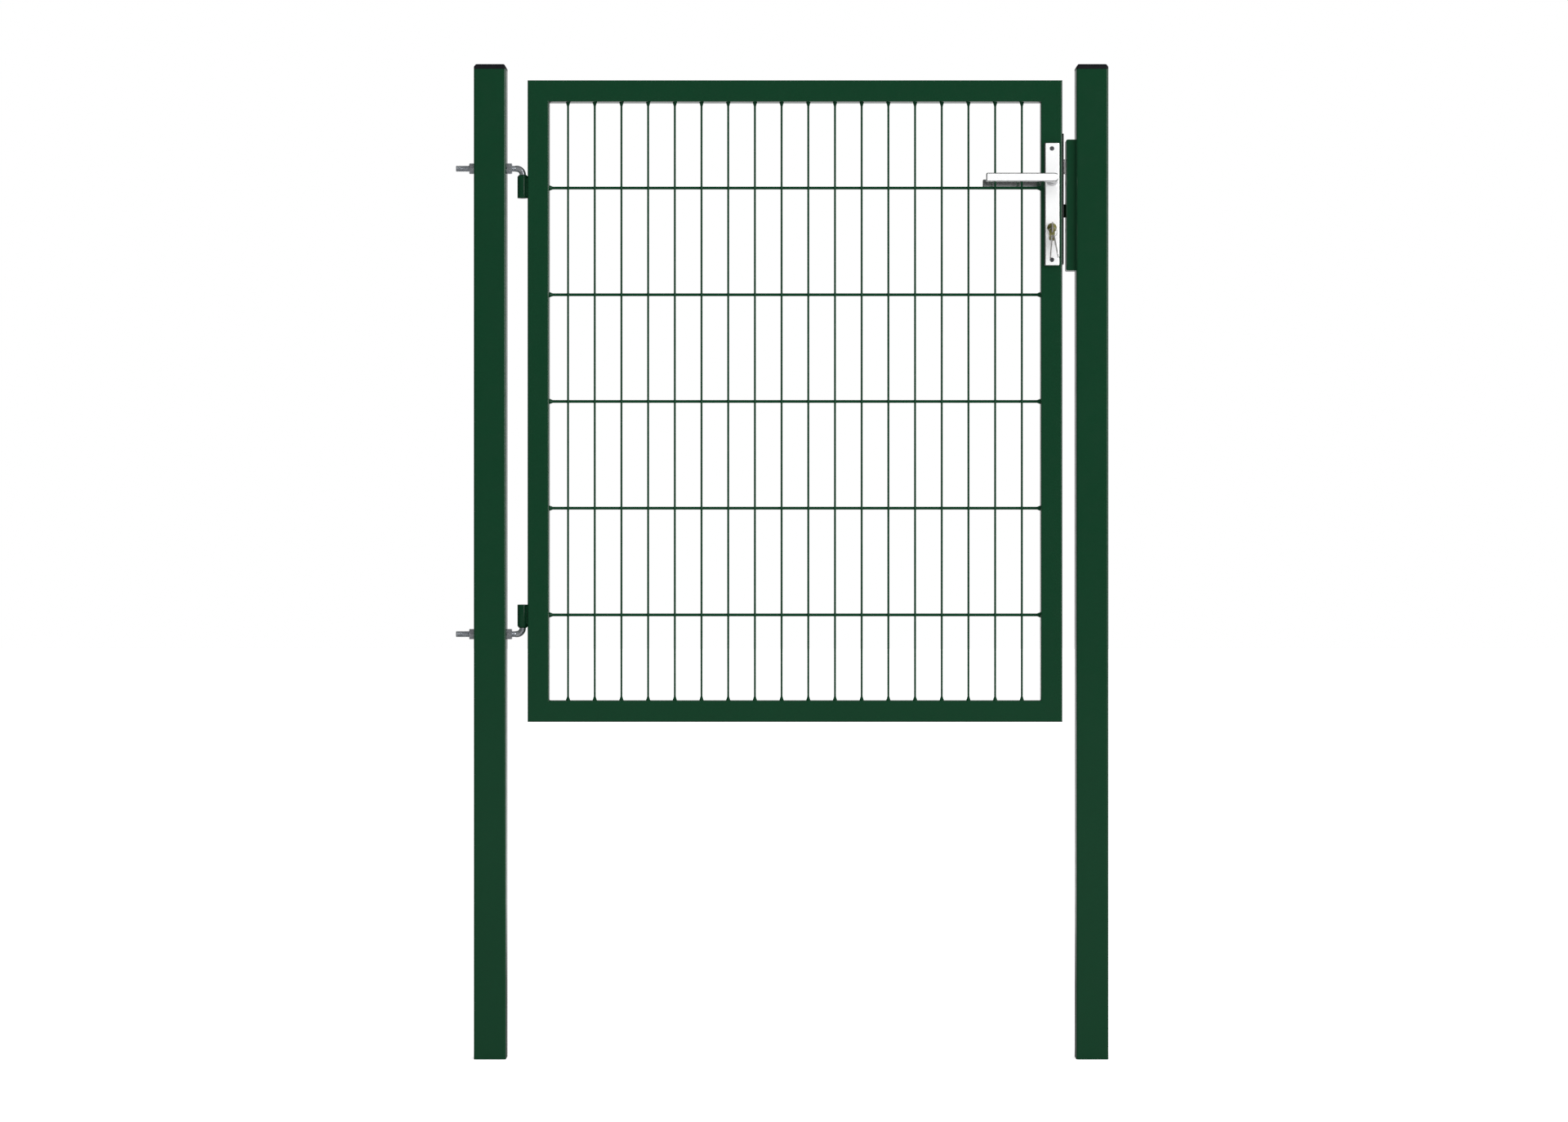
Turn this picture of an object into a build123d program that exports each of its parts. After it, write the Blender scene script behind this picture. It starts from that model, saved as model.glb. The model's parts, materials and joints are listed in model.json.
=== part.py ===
"""Single-leaf garden gate: welded tube leaf with wire mesh, two posts, hinges and a mortise lock.

Millimetres, +Z up. The front of the gate looks towards -Y and the leaf opens that way.
The origin lies on the ground, half-way along the whole width, in the middle plane of the leaf.
Every piece is written to parts/NODE.step.
"""
import os
from math import ceil, cos, floor, radians, sin, sqrt, tan

from build123d import *

os.makedirs("parts", exist_ok=True)

# ---------------------------------------------------------------- driving dimensions

# leaf
LEAF_WIDTH = 1000.0
LEAF_HEIGHT = 1200.0
LEAF_BOTTOM = 630.0             # underside of the leaf above the feet of the posts
TUBE = 40.0                     # square tube of the leaf, across the flats
TUBE_WALL = 2.0
TUBE_CORNER = 3.0               # outside corner radius
LEAST_CORNER = 0.5              # inside corner radius of any tube

# mesh
WIRE_PITCH = 50.0               # upright wires, centre to centre
ROW_PITCH = 200.0               # cross wires, centre to centre
WIRE_R = 2.0
ROW_R = 2.75
WELD_SINK = 0.4                 # how far crossing wires are pressed into each other
COLLAR_R = 4.0                  # cone of weld where a wire meets the frame
COLLAR_LENGTH = 6.0
COLLAR_EDGE = 0.4               # thickness of the weld's thin end

# posts
POST = 60.0
POST_WALL = 2.0
POST_CORNER = 4.0
POST_LENGTH = 1850.0
CAP_RIM = 4.5                   # straight edge of the cap, on top of the tube
CAP_CROWN = 5.0                 # height of its bevelled crown
CAP_BEVEL_DEG = 35.0
CAP_SKIRT = 26.0                # plug inside the tube
CAP_WALL = 2.2
CAP_FIT = 0.25                  # skirt to tube wall

# gaps between leaf and posts
HINGE_GAP = 40.0
LOCK_GAP = 25.5

# hinges
HINGE_INSET = 164.0             # hinge bolt to the nearer edge of the leaf
BOLT_R = 6.0
BOLT_TAIL = 25.0                # thread left free outside the outer nut
BOLT_HOLE_R = 6.5
BEND_R = 11.5                   # centre line of the bend
PIN_LENGTH = 40.0               # straight upright pin
BARREL_R = 10.0
BARREL_LENGTH = 40.0
BARREL_CONE = 3.5
BARREL_MOUTH_R = 7.8
RUNNING = 0.05                  # radial clearance of every turning fit
BARREL_LIFT = 0.4               # barrel mouth above the start of the bend
NUT_FLATS = 19.0
NUT_THICK = 10.0
NUT_BEVEL = 0.6
NUT_BEVEL_DEG = 30.0
BOLT_TIP = 1.0                  # bevel of both ends of the bolt
BEAD_THROAT = 2.5               # inner edge of the weld from the middle plane
BEAD_FOOT = 9.5                 # outer edge of the weld on the stile
BEAD_WIDTH = 4.0                # from the stile towards the pin
BEAD_CREST = 7.5                # outer edge of the weld on the barrel
BEAD_END = 2.0                  # barrel left free at each end of the weld
BEAD_GAP = 0.02

# lock: heights are measured from the spindle
SPINDLE_HEIGHT = 1643.6         # above the feet of the posts
BACKSET = 20.0                  # spindle to the face of the leaf
SPINDLE = 8.0                   # square
SLIDING = 0.1                   # play of every sliding or plugged fit
FOREND_TOP = 87.5
FOREND_LENGTH = 245.0
FOREND_WIDTH = 24.0
FOREND_THICK = 3.0
FOREND_SCREW_INSET = 10.0
FOREND_SCREW_R = 2.5
FOREND_HEAD_R = 4.3
FOREND_CORNER_R = 2.0
CASE_TOP = 48.0
CASE_LENGTH = 168.0
CASE_DEPTH = 37.5
CASE_THICK = 16.0
CASE_WALL = 1.8
CASE_SCREW_R = 1.5
CASE_HEAD_R = 2.6
CASE_HEAD = 0.9
CASE_BOSS_WALL = 1.0
CASE_BOSS_GAP = 1.2             # between a boss's screw and the walls of the case
CASE_SCREW_END = 1.5            # end of a cover screw above the floor of the case
MORTISE_PLAY = 0.5

# latch bolt
LATCH_RISE = 26.0               # centre above the spindle
LATCH_HEIGHT = 27.0
LATCH_REACH = 12.0              # out of the forend at rest
LATCH_TRAVEL = 12.5
LATCH_PLAY = 0.2
LATCH_TAIL_THICK = 5.0
LATCH_TAIL_HEIGHT = 6.5
LATCH_SUNK = 6.0                # head of the latch behind the face of the leaf
LATCH_NOSE = 2.0                # blunt edge left by the latch's bevel
LATCH_BEVEL = 11.0              # length of the bevel
LATCH_EDGE_R = 0.8
LATCH_ROOF = 0.7                # follower tip to the tail above it
LUG_WIDTH = 4.0
LUG_DEPTH = 6.0                 # the two lugs below the latch's tail
LUG_GAP = 0.15                  # follower tip to the lug on either side
HANDLE_TURN_DEG = 40.0
FOLLOWER_R = 8.0
FOLLOWER_TIP_R = 2.5
FOLLOWER_ARM_WIDTH = 3.2
FOLLOWER_ARM_THICK = 5.0
FOLLOWER_SPRING_R = 9.2
FOLLOWER_SPRING_WIRE = 0.5
FOLLOWER_SPRING_PITCH = 1.15
FOLLOWER_SPRING_TURNS = 2
FOLLOWER_SPRING_GAP = 0.3       # coil to the follower's arm

# dead bolt
BOLT_ABOVE_CYLINDER = 36.0
DEAD_BOLT_HEIGHT = 24.0
DEAD_BOLT_THICK = 10.0
DEAD_BOLT_THROW = 20.0
DEAD_BOLT_LENGTH = 32.0
DEAD_BOLT_SUNK = 0.5            # behind the face of the forend at rest
TALON_THICK = 5.0
BOLT_EDGE = 0.6                 # bevel round the end of the dead bolt

# profile cylinder
CYLINDER_DROP = 90.0            # plug centre below the spindle
CYLINDER_R = 8.5
CYLINDER_LEG = 10.0
CYLINDER_HEIGHT = 33.0
CYLINDER_PROUD = 2.0            # outside the face of each plate
CYLINDER_PLAY = 0.25
PLUG_R = 6.5
PLUG_PROUD = 0.3
CAM_R = 15.0
CAM_RING_R = 8.4
CAM_WIDTH = 10.0
CAM_FINGER = 7.0
CAM_CLEARANCE = 0.7             # finger to the lug of the dead bolt
PLUG_TAIL_R = 4.9
KEYWAY_END = 2.0                # keyway stops this far before the cam's slot
CAM_PLAY = 0.4                  # body to the end of the cam's finger
CAM_BORE_R = 5.0
PIN_R = 1.4
PIN_CHAMBER_R = 1.45
PIN_PITCH = 3.8
PIN_START = 6.1                 # from the cam's slot to the first pin
PIN_COUNT = 5
PIN_POINT = 0.8                 # height of a key pin's conical point
PIN_POINT_R = 0.5
PIN_PLAY = 0.1                  # pin to the key's cut, spring to its seats
REAR_LIFT = 1.2                 # how far springs lift the pins with no key
CHAMBER_CLOSED = 2.5            # brass left below each pin chamber
DRIVER_LENGTH = 5.0
PIN_SPRING_WIRE = 0.25
PIN_SPRING_TURNS = 6
SPRING_SIDES = 8                # flats round the spring wire
CYLINDER_SCREW_R = 2.5
CYLINDER_HEAD_R = 4.5
CYLINDER_SCREW_DROP = 20.0

# keys
KEY_THICK = 2.2
KEY_BLADE_HEIGHT = 7.6
KEY_BLADE_LENGTH = 24.0
KEY_BOW_LENGTH = 20.0
KEY_BOW_HEIGHT = 20.0
KEY_BOW_CORNER = 7.0
KEY_HOLE_R = 2.5
KEY_HOLE_INSET = 5.0
KEY_STANDOFF = 1.5              # shoulder of the key in front of the plug
KEY_CUT_STEP = 0.5
KEY_CUT_FLOOR = 0.7             # half the flat floor of a cut
KEY_CUT_SLOPE = 1.25
KEY_NECK = 1.5                  # shoulder beyond each edge of the blade
KEY_NECK_LENGTH = 2.5
KEY_POINT = 2.5                 # bevel of the blade's end
RING_R = 8.5
RING_WIRE = 0.75
RING_DROP = 1.5                 # ring wire below the middle of the key's hole
SPARE_KEY_PLACES = ((-1.4, -4.0), (2.6, 12.0))   # offset along X, lean in degrees

# plates and lever handles
PLATE_WIDTH = 28.0
PLATE_TOP = 69.0
PLATE_LENGTH = 230.0
PLATE_DEPTH = 8.0
PLATE_SKIN = 2.5
PLATE_EDGE_R = 1.4
PLATE_CORNER_R = 1.5
PLATE_SCREW_INSET = 11.0
PLATE_SCREW_R = 2.5
PLATE_HEAD_R = 4.2
SLEEVE_R = 3.6
SLEEVE_LENGTH = 30.0
SCREW_LENGTH = 36.0
SOCKET_FLATS = 3.0
SOCKET_DEPTH = 1.6
SLEEVE_BORE_END = 4.0           # closed end of the sleeve nut's thread
PLATE_BOSS_R = 6.0
LEVER_LENGTH = 125.0            # free end to the spindle
LEVER_OVERHANG = 10.0           # past the spindle
LEVER_HEIGHT = 16.5
LEVER_THICK = 12.0
LEVER_OFFSET = 47.0             # plate face to the middle of the lever
LEVER_END_R = 2.5
LEVER_EDGE_R = 2.25
LEVER_SOCKET_END = 2.0          # metal left between spindle socket and lever
SPINDLE_PLAY = 1.0              # spindle to the end of each socket
SPINDLE_EDGE = 0.6
NECK_R = 8.0
BUSH_R = 10.5
BUSH_FLANGE_R = 12.0
BUSH_FLANGE = 1.2
BUSH_INSET = 0.5                # bush to the face of the leaf
GRUB_R = 2.5
GRUB_OFFSET = 9.0               # plate face to the grub screw
GRUB_SUNK = 0.5                 # below the surface of the neck
GRUB_SOCKET = 1.5

# keeper on the latch post
KEEPER_GAP = 4.0                # face of the forend to the keeper
KEEPER_TOP = 75.5
KEEPER_LENGTH = 245.0
KEEPER_DEPTH = 40.0
KEEPER_EDGE_R = 3.0
KEEPER_SCREW_R = 3.0
KEEPER_HEAD_R = 5.0
KEEPER_HEAD = 6.0
KEEPER_SCREW_UPPER = -5.6
KEEPER_SCREW_LOWER = -93.6
KEEPER_HEAD_SUNK = 1.0
KEEPER_SOCKET_FLATS = 5.0
KEEPER_SOCKET = 3.0             # depth
KEEPER_SCREW_REACH = 9.0        # into the post, past its wall
POCKET_PLAY = 1.0
RIVET_NUT_R = 4.5
RIVET_FLANGE_R = 6.5
RIVET_FLANGE = 1.0
RIVET_LENGTH = 12.0
RIVET_END = 2.0                 # thread left free behind a screw's end
STOP_DROP = 55.0                # middle of the stop below the spindle
STOP_HEIGHT = 25.0
STOP_THICK = 4.0
STOP_REACH = 5.0                # behind the leaf, beside the rear plate
BUFFER_THICK = 2.2
BUFFER_EDGE_R = 0.66
REST_GAP = 0.3                  # closed leaf to the buffer

# ---------------------------------------------------------------- places worked out from them

WIDTH = BOLT_TAIL + NUT_THICK + POST + HINGE_GAP + LEAF_WIDTH + LOCK_GAP + POST
X_TAIL = -WIDTH / 2                              # free end of the hinge bolts
X_HINGE_POST = X_TAIL + BOLT_TAIL + NUT_THICK    # outer face of the hinge post
X_LEAF = X_HINGE_POST + POST + HINGE_GAP         # hinge-side face of the leaf
X_LOCK = X_LEAF + LEAF_WIDTH                     # lock-side face of the leaf
X_LATCH_POST = X_LOCK + LOCK_GAP                 # inner face of the latch post
LEAF_TOP = LEAF_BOTTOM + LEAF_HEIGHT
X_PIN = X_LEAF - BARREL_R
Z_UPPER_HINGE = LEAF_TOP - HINGE_INSET
Z_LOWER_HINGE = LEAF_BOTTOM + HINGE_INSET
FACE = TUBE / 2                                  # leaf face from the middle plane
X_SPINDLE = X_LOCK - BACKSET
Z_SPINDLE = SPINDLE_HEIGHT
Z_CYLINDER = Z_SPINDLE - CYLINDER_DROP
Z_LATCH = Z_SPINDLE + LATCH_RISE
Z_DEAD_BOLT = Z_CYLINDER + BOLT_ABOVE_CYLINDER
X_FOREND = X_LOCK + FOREND_THICK                 # outer face of the forend
X_KEEPER = X_FOREND + KEEPER_GAP                 # face of the keeper
X_CASE = X_LOCK - CASE_DEPTH                     # back of the lock case
CASE_INNER = CASE_THICK / 2 - CASE_WALL          # half the room inside the case
PLATE_FACE = FACE + PLATE_DEPTH
LEVER_MIDDLE = PLATE_FACE + LEVER_OFFSET
CYLINDER_HALF = PLATE_FACE + CYLINDER_PROUD
UPPER_PLATE_SCREW = Z_SPINDLE + PLATE_TOP - PLATE_SCREW_INSET
LOWER_PLATE_SCREW = Z_SPINDLE + PLATE_TOP - PLATE_LENGTH + PLATE_SCREW_INSET
FOREND_SCREWS = (Z_SPINDLE + FOREND_TOP - FOREND_SCREW_INSET,
                 Z_SPINDLE + FOREND_TOP - FOREND_LENGTH + FOREND_SCREW_INSET)
KEEPER_SCREWS = (Z_SPINDLE + KEEPER_SCREW_UPPER, Z_SPINDLE + KEEPER_SCREW_LOWER)

# The follower's tip sweeps evenly to both sides of upright, so its arm follows from the travel.
FOLLOWER_ARM = LATCH_TRAVEL / (2 * sin(radians(HANDLE_TURN_DEG / 2)))

# The mesh is centred between the rails; the upright wires lie in front.
WIRE_COUNT = floor((LEAF_WIDTH - 2 * TUBE) / WIRE_PITCH)
ROW_COUNT = ceil(LEAF_HEIGHT / ROW_PITCH) - 1
MESH_HALF = WIRE_R + ROW_R - WELD_SINK / 2
Y_WIRES = WIRE_R - MESH_HALF
Y_ROWS = MESH_HALF - ROW_R

OVERCUT = 1.0                                    # cutting shapes pass through a face by this much


# ---------------------------------------------------------------- plain shapes

def block(x0, x1, y0, y1, z0, z1):
    """Rectangular solid between two corners."""
    return Pos((x0 + x1) / 2, (y0 + y1) / 2, (z0 + z1) / 2) * Box(x1 - x0, y1 - y0, z1 - z0)


def bar_x(x0, x1, y, z, radius):
    """Round bar along X."""
    return Pos((x0 + x1) / 2, y, z) * Rot(0, 90, 0) * Cylinder(radius, x1 - x0)


def bar_y(y0, y1, x, z, radius):
    """Round bar along Y."""
    return Pos(x, (y0 + y1) / 2, z) * Rot(90, 0, 0) * Cylinder(radius, y1 - y0)


def bar_z(z0, z1, x, y, radius):
    """Round bar along Z."""
    return Pos(x, y, (z0 + z1) / 2) * Cylinder(radius, z1 - z0)


def cone_x(x0, x1, y, z, r0, r1):
    """Cone along X with radius r0 at x0 and r1 at x1."""
    return Pos((x0 + x1) / 2, y, z) * Rot(0, 90, 0) * Cone(r0, r1, x1 - x0)


def cone_y(y0, y1, x, z, r0, r1):
    """Cone along Y with radius r0 at y0 and r1 at y1."""
    return Pos(x, (y0 + y1) / 2, z) * Rot(-90, 0, 0) * Cone(r0, r1, y1 - y0)


def cone_z(z0, z1, x, y, r0, r1):
    """Cone along Z with radius r0 at z0 and r1 at z1."""
    return Pos(x, y, (z0 + z1) / 2) * Cone(r0, r1, z1 - z0)


def along_y(sketch, y0, y1):
    """Solid from a sketch of (x, z), between two places along Y."""
    return extrude(Plane.XZ.offset(-y0) * sketch, y1 - y0, dir=(0, 1, 0))


def along_z(sketch, z0, z1):
    """Solid from a sketch of (x, y), between two heights."""
    return extrude(Pos(0, 0, z0) * sketch, z1 - z0, dir=(0, 0, 1))


def prism_y(points, y0, y1):
    """Solid from (x, z) corner points, between two places along Y."""
    return along_y(Polygon(*points, align=None), y0, y1)


def prism_z(points, z0, z1):
    """Solid from (x, y) corner points, between two heights."""
    return along_z(Polygon(*points, align=None), z0, z1)


def square_tube(size, wall, corner, length):
    """Square tube standing on the origin, with rounded corners."""
    inner = size - 2 * wall
    section = RectangleRounded(size, size, corner)
    section -= RectangleRounded(inner, inner, max(corner - wall, LEAST_CORNER))
    return extrude(section, length)


def hexagon(flats):
    """Corner points of a hexagon about the origin."""
    corner = flats / 2 / cos(radians(30))
    return [(corner * cos(radians(60 * k)), corner * sin(radians(60 * k))) for k in range(6)]


def hexagon_nut(x0, y, z, flats, thick, bore, bevel):
    """Nut with its axis along X from x0, flats level, corners bevelled at both ends."""
    points = hexagon(flats)
    prism = extrude(Polygon(*points, align=None), thick)
    round_blank = Pos(0, 0, thick / 2) * Cylinder(points[0][0], thick)
    rims = round_blank.edges().filter_by(GeomType.CIRCLE)
    prism &= chamfer(rims, bevel, bevel / tan(radians(NUT_BEVEL_DEG)))
    prism -= Pos(0, 0, thick / 2) * Cylinder(bore, 2 * thick)
    return Plane(origin=(x0, y, z), x_dir=(0, 1, 0), z_dir=(1, 0, 0)) * prism


def spring(radius, section, turns, length):
    """Coil spring of whole turns standing on the origin along Z; section is its wire's outline."""
    path = Helix(length / turns, length, radius)
    start = Plane(origin=path @ 0, z_dir=path % 0)
    return sweep(start * section, path=path, is_frenet=True)


def save(name, *pieces):
    """Write the solids of one node."""
    solids = [solid for piece in pieces for solid in piece.solids()]
    shape = solids[0] if len(solids) == 1 else Compound(children=solids)
    export_step(shape, f"parts/{name}.step")


# ---------------------------------------------------------------- posts

def post(x_outer):
    """Square tube post whose lower x face is x_outer, without holes."""
    return Pos(x_outer + POST / 2, 0, 0) * square_tube(POST, POST_WALL, POST_CORNER, POST_LENGTH)


def post_cap(x_outer):
    """Plug with a straight rim, a bevelled crown and a hollow skirt inside the tube."""
    rim = extrude(RectangleRounded(POST, POST, POST_CORNER), CAP_RIM)
    top = Pos(0, 0, CAP_RIM) * RectangleRounded(POST, POST, POST_CORNER)
    crown = extrude(top, CAP_CROWN, taper=CAP_BEVEL_DEG)
    outside = POST - 2 * (POST_WALL + CAP_FIT)
    inside = outside - 2 * CAP_WALL
    corner = max(POST_CORNER - POST_WALL, LEAST_CORNER)
    skirt = extrude(RectangleRounded(outside, outside, corner), -CAP_SKIRT)
    skirt -= extrude(RectangleRounded(inside, inside, corner), -CAP_SKIRT)
    return Pos(x_outer + POST / 2, 0, POST_LENGTH) * (rim + crown + skirt)


def rivet_nut(x_wall, z, direction, thread_r):
    """Threaded insert in a tube wall; its flange lies on the wall and its body points inwards."""
    flange = bar_x(0, RIVET_FLANGE, 0, 0, RIVET_FLANGE_R)
    body = bar_x(-RIVET_LENGTH, 0, 0, 0, RIVET_NUT_R)
    insert = flange + body - bar_x(-RIVET_LENGTH, RIVET_FLANGE, 0, 0, thread_r + RUNNING)
    turn = Rot(0, 0, 0) if direction > 0 else Rot(0, 0, 180)
    return Pos(x_wall, 0, z) * turn * insert


hinge_post = post(X_HINGE_POST)
for z_hinge in (Z_UPPER_HINGE, Z_LOWER_HINGE):
    hinge_post -= bar_x(X_HINGE_POST - OVERCUT, X_HINGE_POST + POST + OVERCUT, 0, z_hinge, BOLT_HOLE_R)
save("hinge_post", hinge_post)

latch_post = post(X_LATCH_POST)
for z_screw in KEEPER_SCREWS:
    latch_post -= bar_x(X_LATCH_POST - OVERCUT, X_LATCH_POST + POST / 2, 0, z_screw,
                        RIVET_NUT_R + SLIDING)
save("latch_post", latch_post)

save("hinge_post_cap", post_cap(X_HINGE_POST))
save("latch_post_cap", post_cap(X_LATCH_POST))


# ---------------------------------------------------------------- hinges

def hinge_bolt(z_bolt, way):
    """Bent bolt: threaded through the post, then turned up (way 1) or down (way -1) into a pin."""
    route = FilletPolyline(
        (X_TAIL, 0, z_bolt), (X_PIN, 0, z_bolt), (X_PIN, 0, z_bolt + way * (BEND_R + PIN_LENGTH)),
        radius=BEND_R)
    section = Plane(origin=(X_TAIL, 0, z_bolt), z_dir=(1, 0, 0)) * Circle(BOLT_R)
    bolt = sweep(section, path=route)
    ends = bolt.edges().filter_by(GeomType.CIRCLE)
    tips = [ends.sort_by(Axis.X)[0], ends.sort_by(Axis.Z)[-1 if way > 0 else 0]]
    return chamfer(tips, BOLT_TIP)


def hinge_barrel(z_bolt, way):
    """Tube on the stile that turns on the pin, coned at the end next to the bend."""
    z_mouth = z_bolt + way * (BEND_R + BARREL_LIFT)
    z_cone = z_mouth + way * BARREL_CONE
    z_end = z_cone + way * BARREL_LENGTH
    if way > 0:
        barrel = cone_z(z_mouth, z_cone, X_PIN, 0, BARREL_MOUTH_R, BARREL_R)
    else:
        barrel = cone_z(z_cone, z_mouth, X_PIN, 0, BARREL_R, BARREL_MOUTH_R)
    barrel += bar_z(min(z_cone, z_end), max(z_cone, z_end), X_PIN, 0, BARREL_R)
    low, high = min(z_mouth, z_end), max(z_mouth, z_end)
    return barrel - bar_z(low - OVERCUT, high + OVERCUT, X_PIN, 0, BOLT_R + RUNNING)


def hinge_beads(z_bolt, way):
    """Two fillet welds that fill the grooves between barrel and stile."""
    z_start = z_bolt + way * (BEND_R + BARREL_LIFT + BARREL_CONE + BEAD_END)
    z_end = z_start + way * (BARREL_LENGTH - 2 * BEAD_END)
    low, high = min(z_start, z_end), max(z_start, z_end)
    barrel = bar_z(low - OVERCUT, high + OVERCUT, X_PIN, 0, BARREL_R + BEAD_GAP)
    beads = []
    for side in (-1, 1):
        points = [(X_LEAF, side * BEAD_THROAT), (X_LEAF, side * BEAD_FOOT),
                  (X_LEAF - BEAD_WIDTH, side * BEAD_CREST), (X_PIN, side * BEAD_THROAT)]
        beads.append(prism_z(points, low, high) - barrel)
    return beads


HINGES = (("upper", Z_UPPER_HINGE, -1), ("lower", Z_LOWER_HINGE, 1))
outer_nuts, inner_nuts, hinge_welds = [], [], []
for label, z_hinge, way in HINGES:
    save(f"{label}_hinge_bolt", hinge_bolt(z_hinge, way))
    save(f"{label}_hinge_barrel", hinge_barrel(z_hinge, way))
    nut_size = (NUT_FLATS, NUT_THICK, BOLT_R + RUNNING, NUT_BEVEL)
    outer_nuts.append(hexagon_nut(X_HINGE_POST - NUT_THICK, 0, z_hinge, *nut_size))
    inner_nuts.append(hexagon_nut(X_HINGE_POST + POST, 0, z_hinge, *nut_size))
    hinge_welds += hinge_beads(z_hinge, way)
save("hinge_outer_nuts", *outer_nuts)
save("hinge_inner_nuts", *inner_nuts)
save("hinge_welds", *hinge_welds)


# ---------------------------------------------------------------- leaf frame

def stile_blank(x0, flip):
    """Upright tube with both ends mitred; flip is 1 for the lock side, -1 for the hinge side."""
    tube = Pos(x0 + TUBE / 2, 0, LEAF_BOTTOM) * square_tube(TUBE, TUBE_WALL, TUBE_CORNER, LEAF_HEIGHT)
    long_x, short_x = (x0 + TUBE, x0) if flip > 0 else (x0, x0 + TUBE)
    points = [(long_x, LEAF_BOTTOM), (short_x, LEAF_BOTTOM + TUBE),
              (short_x, LEAF_TOP - TUBE), (long_x, LEAF_TOP)]
    return tube & prism_y(points, -TUBE, TUBE)


def rail(z_outer, way):
    """Level tube with both ends mitred; z_outer is its outer face and way points inwards."""
    tube = Rot(0, 90, 0) * square_tube(TUBE, TUBE_WALL, TUBE_CORNER, LEAF_WIDTH)
    tube = Pos(X_LEAF, 0, z_outer + way * TUBE / 2) * tube
    points = [(X_LEAF, z_outer), (X_LOCK, z_outer),
              (X_LOCK - TUBE, z_outer + way * TUBE), (X_LEAF + TUBE, z_outer + way * TUBE)]
    return tube & prism_y(points, -TUBE, TUBE)


def cylinder_outline(play):
    """Face of the profile cylinder in the XZ plane about the plug centre, grown by play."""
    foot = CYLINDER_HEIGHT - CYLINDER_R
    half = CYLINDER_LEG / 2 + play
    leg = Pos(0, -(foot - CYLINDER_LEG / 2) / 2) * Rectangle(2 * half, foot - CYLINDER_LEG / 2)
    return Circle(CYLINDER_R + play) + leg + Pos(0, -(foot - CYLINDER_LEG / 2)) * Circle(half)


def cylinder_prism(play, y0, y1):
    """Solid with the outline of the profile cylinder between two places along Y."""
    return Pos(X_SPINDLE, 0, Z_CYLINDER) * along_y(cylinder_outline(play), y0, y1)


save("hinge_stile", stile_blank(X_LEAF, -1))
save("top_rail", rail(LEAF_TOP, -1))
save("bottom_rail", rail(LEAF_BOTTOM, 1))

lock_stile = stile_blank(X_LOCK - TUBE, 1)
z_case_top = Z_SPINDLE + CASE_TOP
z_case_foot = z_case_top - CASE_LENGTH
mortise_half = CASE_THICK / 2 + MORTISE_PLAY
lock_stile -= block(X_LOCK - TUBE / 2, X_LOCK + OVERCUT, -mortise_half, mortise_half,
                    z_case_foot - MORTISE_PLAY, z_case_top + MORTISE_PLAY)
for z_screw in FOREND_SCREWS:
    lock_stile -= bar_x(X_LOCK - TUBE / 2, X_LOCK + OVERCUT, 0, z_screw, RIVET_NUT_R + SLIDING)
lock_stile -= bar_y(-TUBE, TUBE, X_SPINDLE, Z_SPINDLE, BUSH_R)
for z_screw in (UPPER_PLATE_SCREW, LOWER_PLATE_SCREW):
    lock_stile -= bar_y(-TUBE, TUBE, X_SPINDLE, z_screw, SLEEVE_R + SLIDING)
lock_stile -= cylinder_prism(2 * CYLINDER_PLAY, -TUBE, TUBE)
save("lock_stile", lock_stile)


# ---------------------------------------------------------------- mesh

def end_weld(radius, outer):
    """Cone of weld round a wire's end, standing on the origin along Z."""
    weld = cone_z(0, COLLAR_LENGTH, 0, 0, outer, radius + COLLAR_EDGE)
    return weld - bar_z(-OVERCUT, COLLAR_LENGTH + OVERCUT, 0, 0, radius + BEAD_GAP)


z_rails = (LEAF_BOTTOM + TUBE, LEAF_TOP - TUBE)
x_stiles = (X_LEAF + TUBE, X_LOCK - TUBE)
x_first_wire = (X_LEAF + X_LOCK) / 2 - (WIRE_COUNT - 1) * WIRE_PITCH / 2
z_first_row = (LEAF_BOTTOM + LEAF_TOP) / 2 - (ROW_COUNT - 1) * ROW_PITCH / 2
x_wires = [x_first_wire + k * WIRE_PITCH for k in range(WIRE_COUNT)]
z_wires = [z_first_row + k * ROW_PITCH for k in range(ROW_COUNT)]
save("vertical_wires", *[bar_z(*z_rails, x, Y_WIRES, WIRE_R) for x in x_wires])
save("horizontal_wires", *[bar_x(*x_stiles, Y_ROWS, z, ROW_R) for z in z_wires])

wire_weld = end_weld(WIRE_R, COLLAR_R)
row_weld = end_weld(ROW_R, COLLAR_R + ROW_R - WIRE_R)
mesh_welds = [Pos(x, Y_WIRES, z_rails[0]) * wire_weld for x in x_wires]
mesh_welds += [Pos(x, Y_WIRES, z_rails[1]) * Rot(180, 0, 0) * wire_weld for x in x_wires]
mesh_welds += [Pos(x_stiles[0], Y_ROWS, z) * Rot(0, 90, 0) * row_weld for z in z_wires]
mesh_welds += [Pos(x_stiles[1], Y_ROWS, z) * Rot(0, -90, 0) * row_weld for z in z_wires]
save("mesh_end_welds", *mesh_welds)


# ---------------------------------------------------------------- lock case and forend

def case_corner_screws():
    """Places (x, z) of the screws that hold the cover on the case."""
    inset = CASE_WALL + CASE_SCREW_R + CASE_BOSS_GAP
    return [(X_CASE + inset, z_case_top - inset), (X_CASE + inset, z_case_foot + inset),
            (X_CASE + inset, Z_SPINDLE - CYLINDER_DROP / 3)]


def countersunk_x(x_face, z, shank_r, head_r, reach):
    """Countersunk screw along -X whose head lies flush in a face at x_face."""
    head = head_r - shank_r
    screw = cone_x(x_face - head, x_face, 0, z, shank_r, head_r)
    return screw + bar_x(x_face - reach, x_face - head, 0, z, shank_r)


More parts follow.
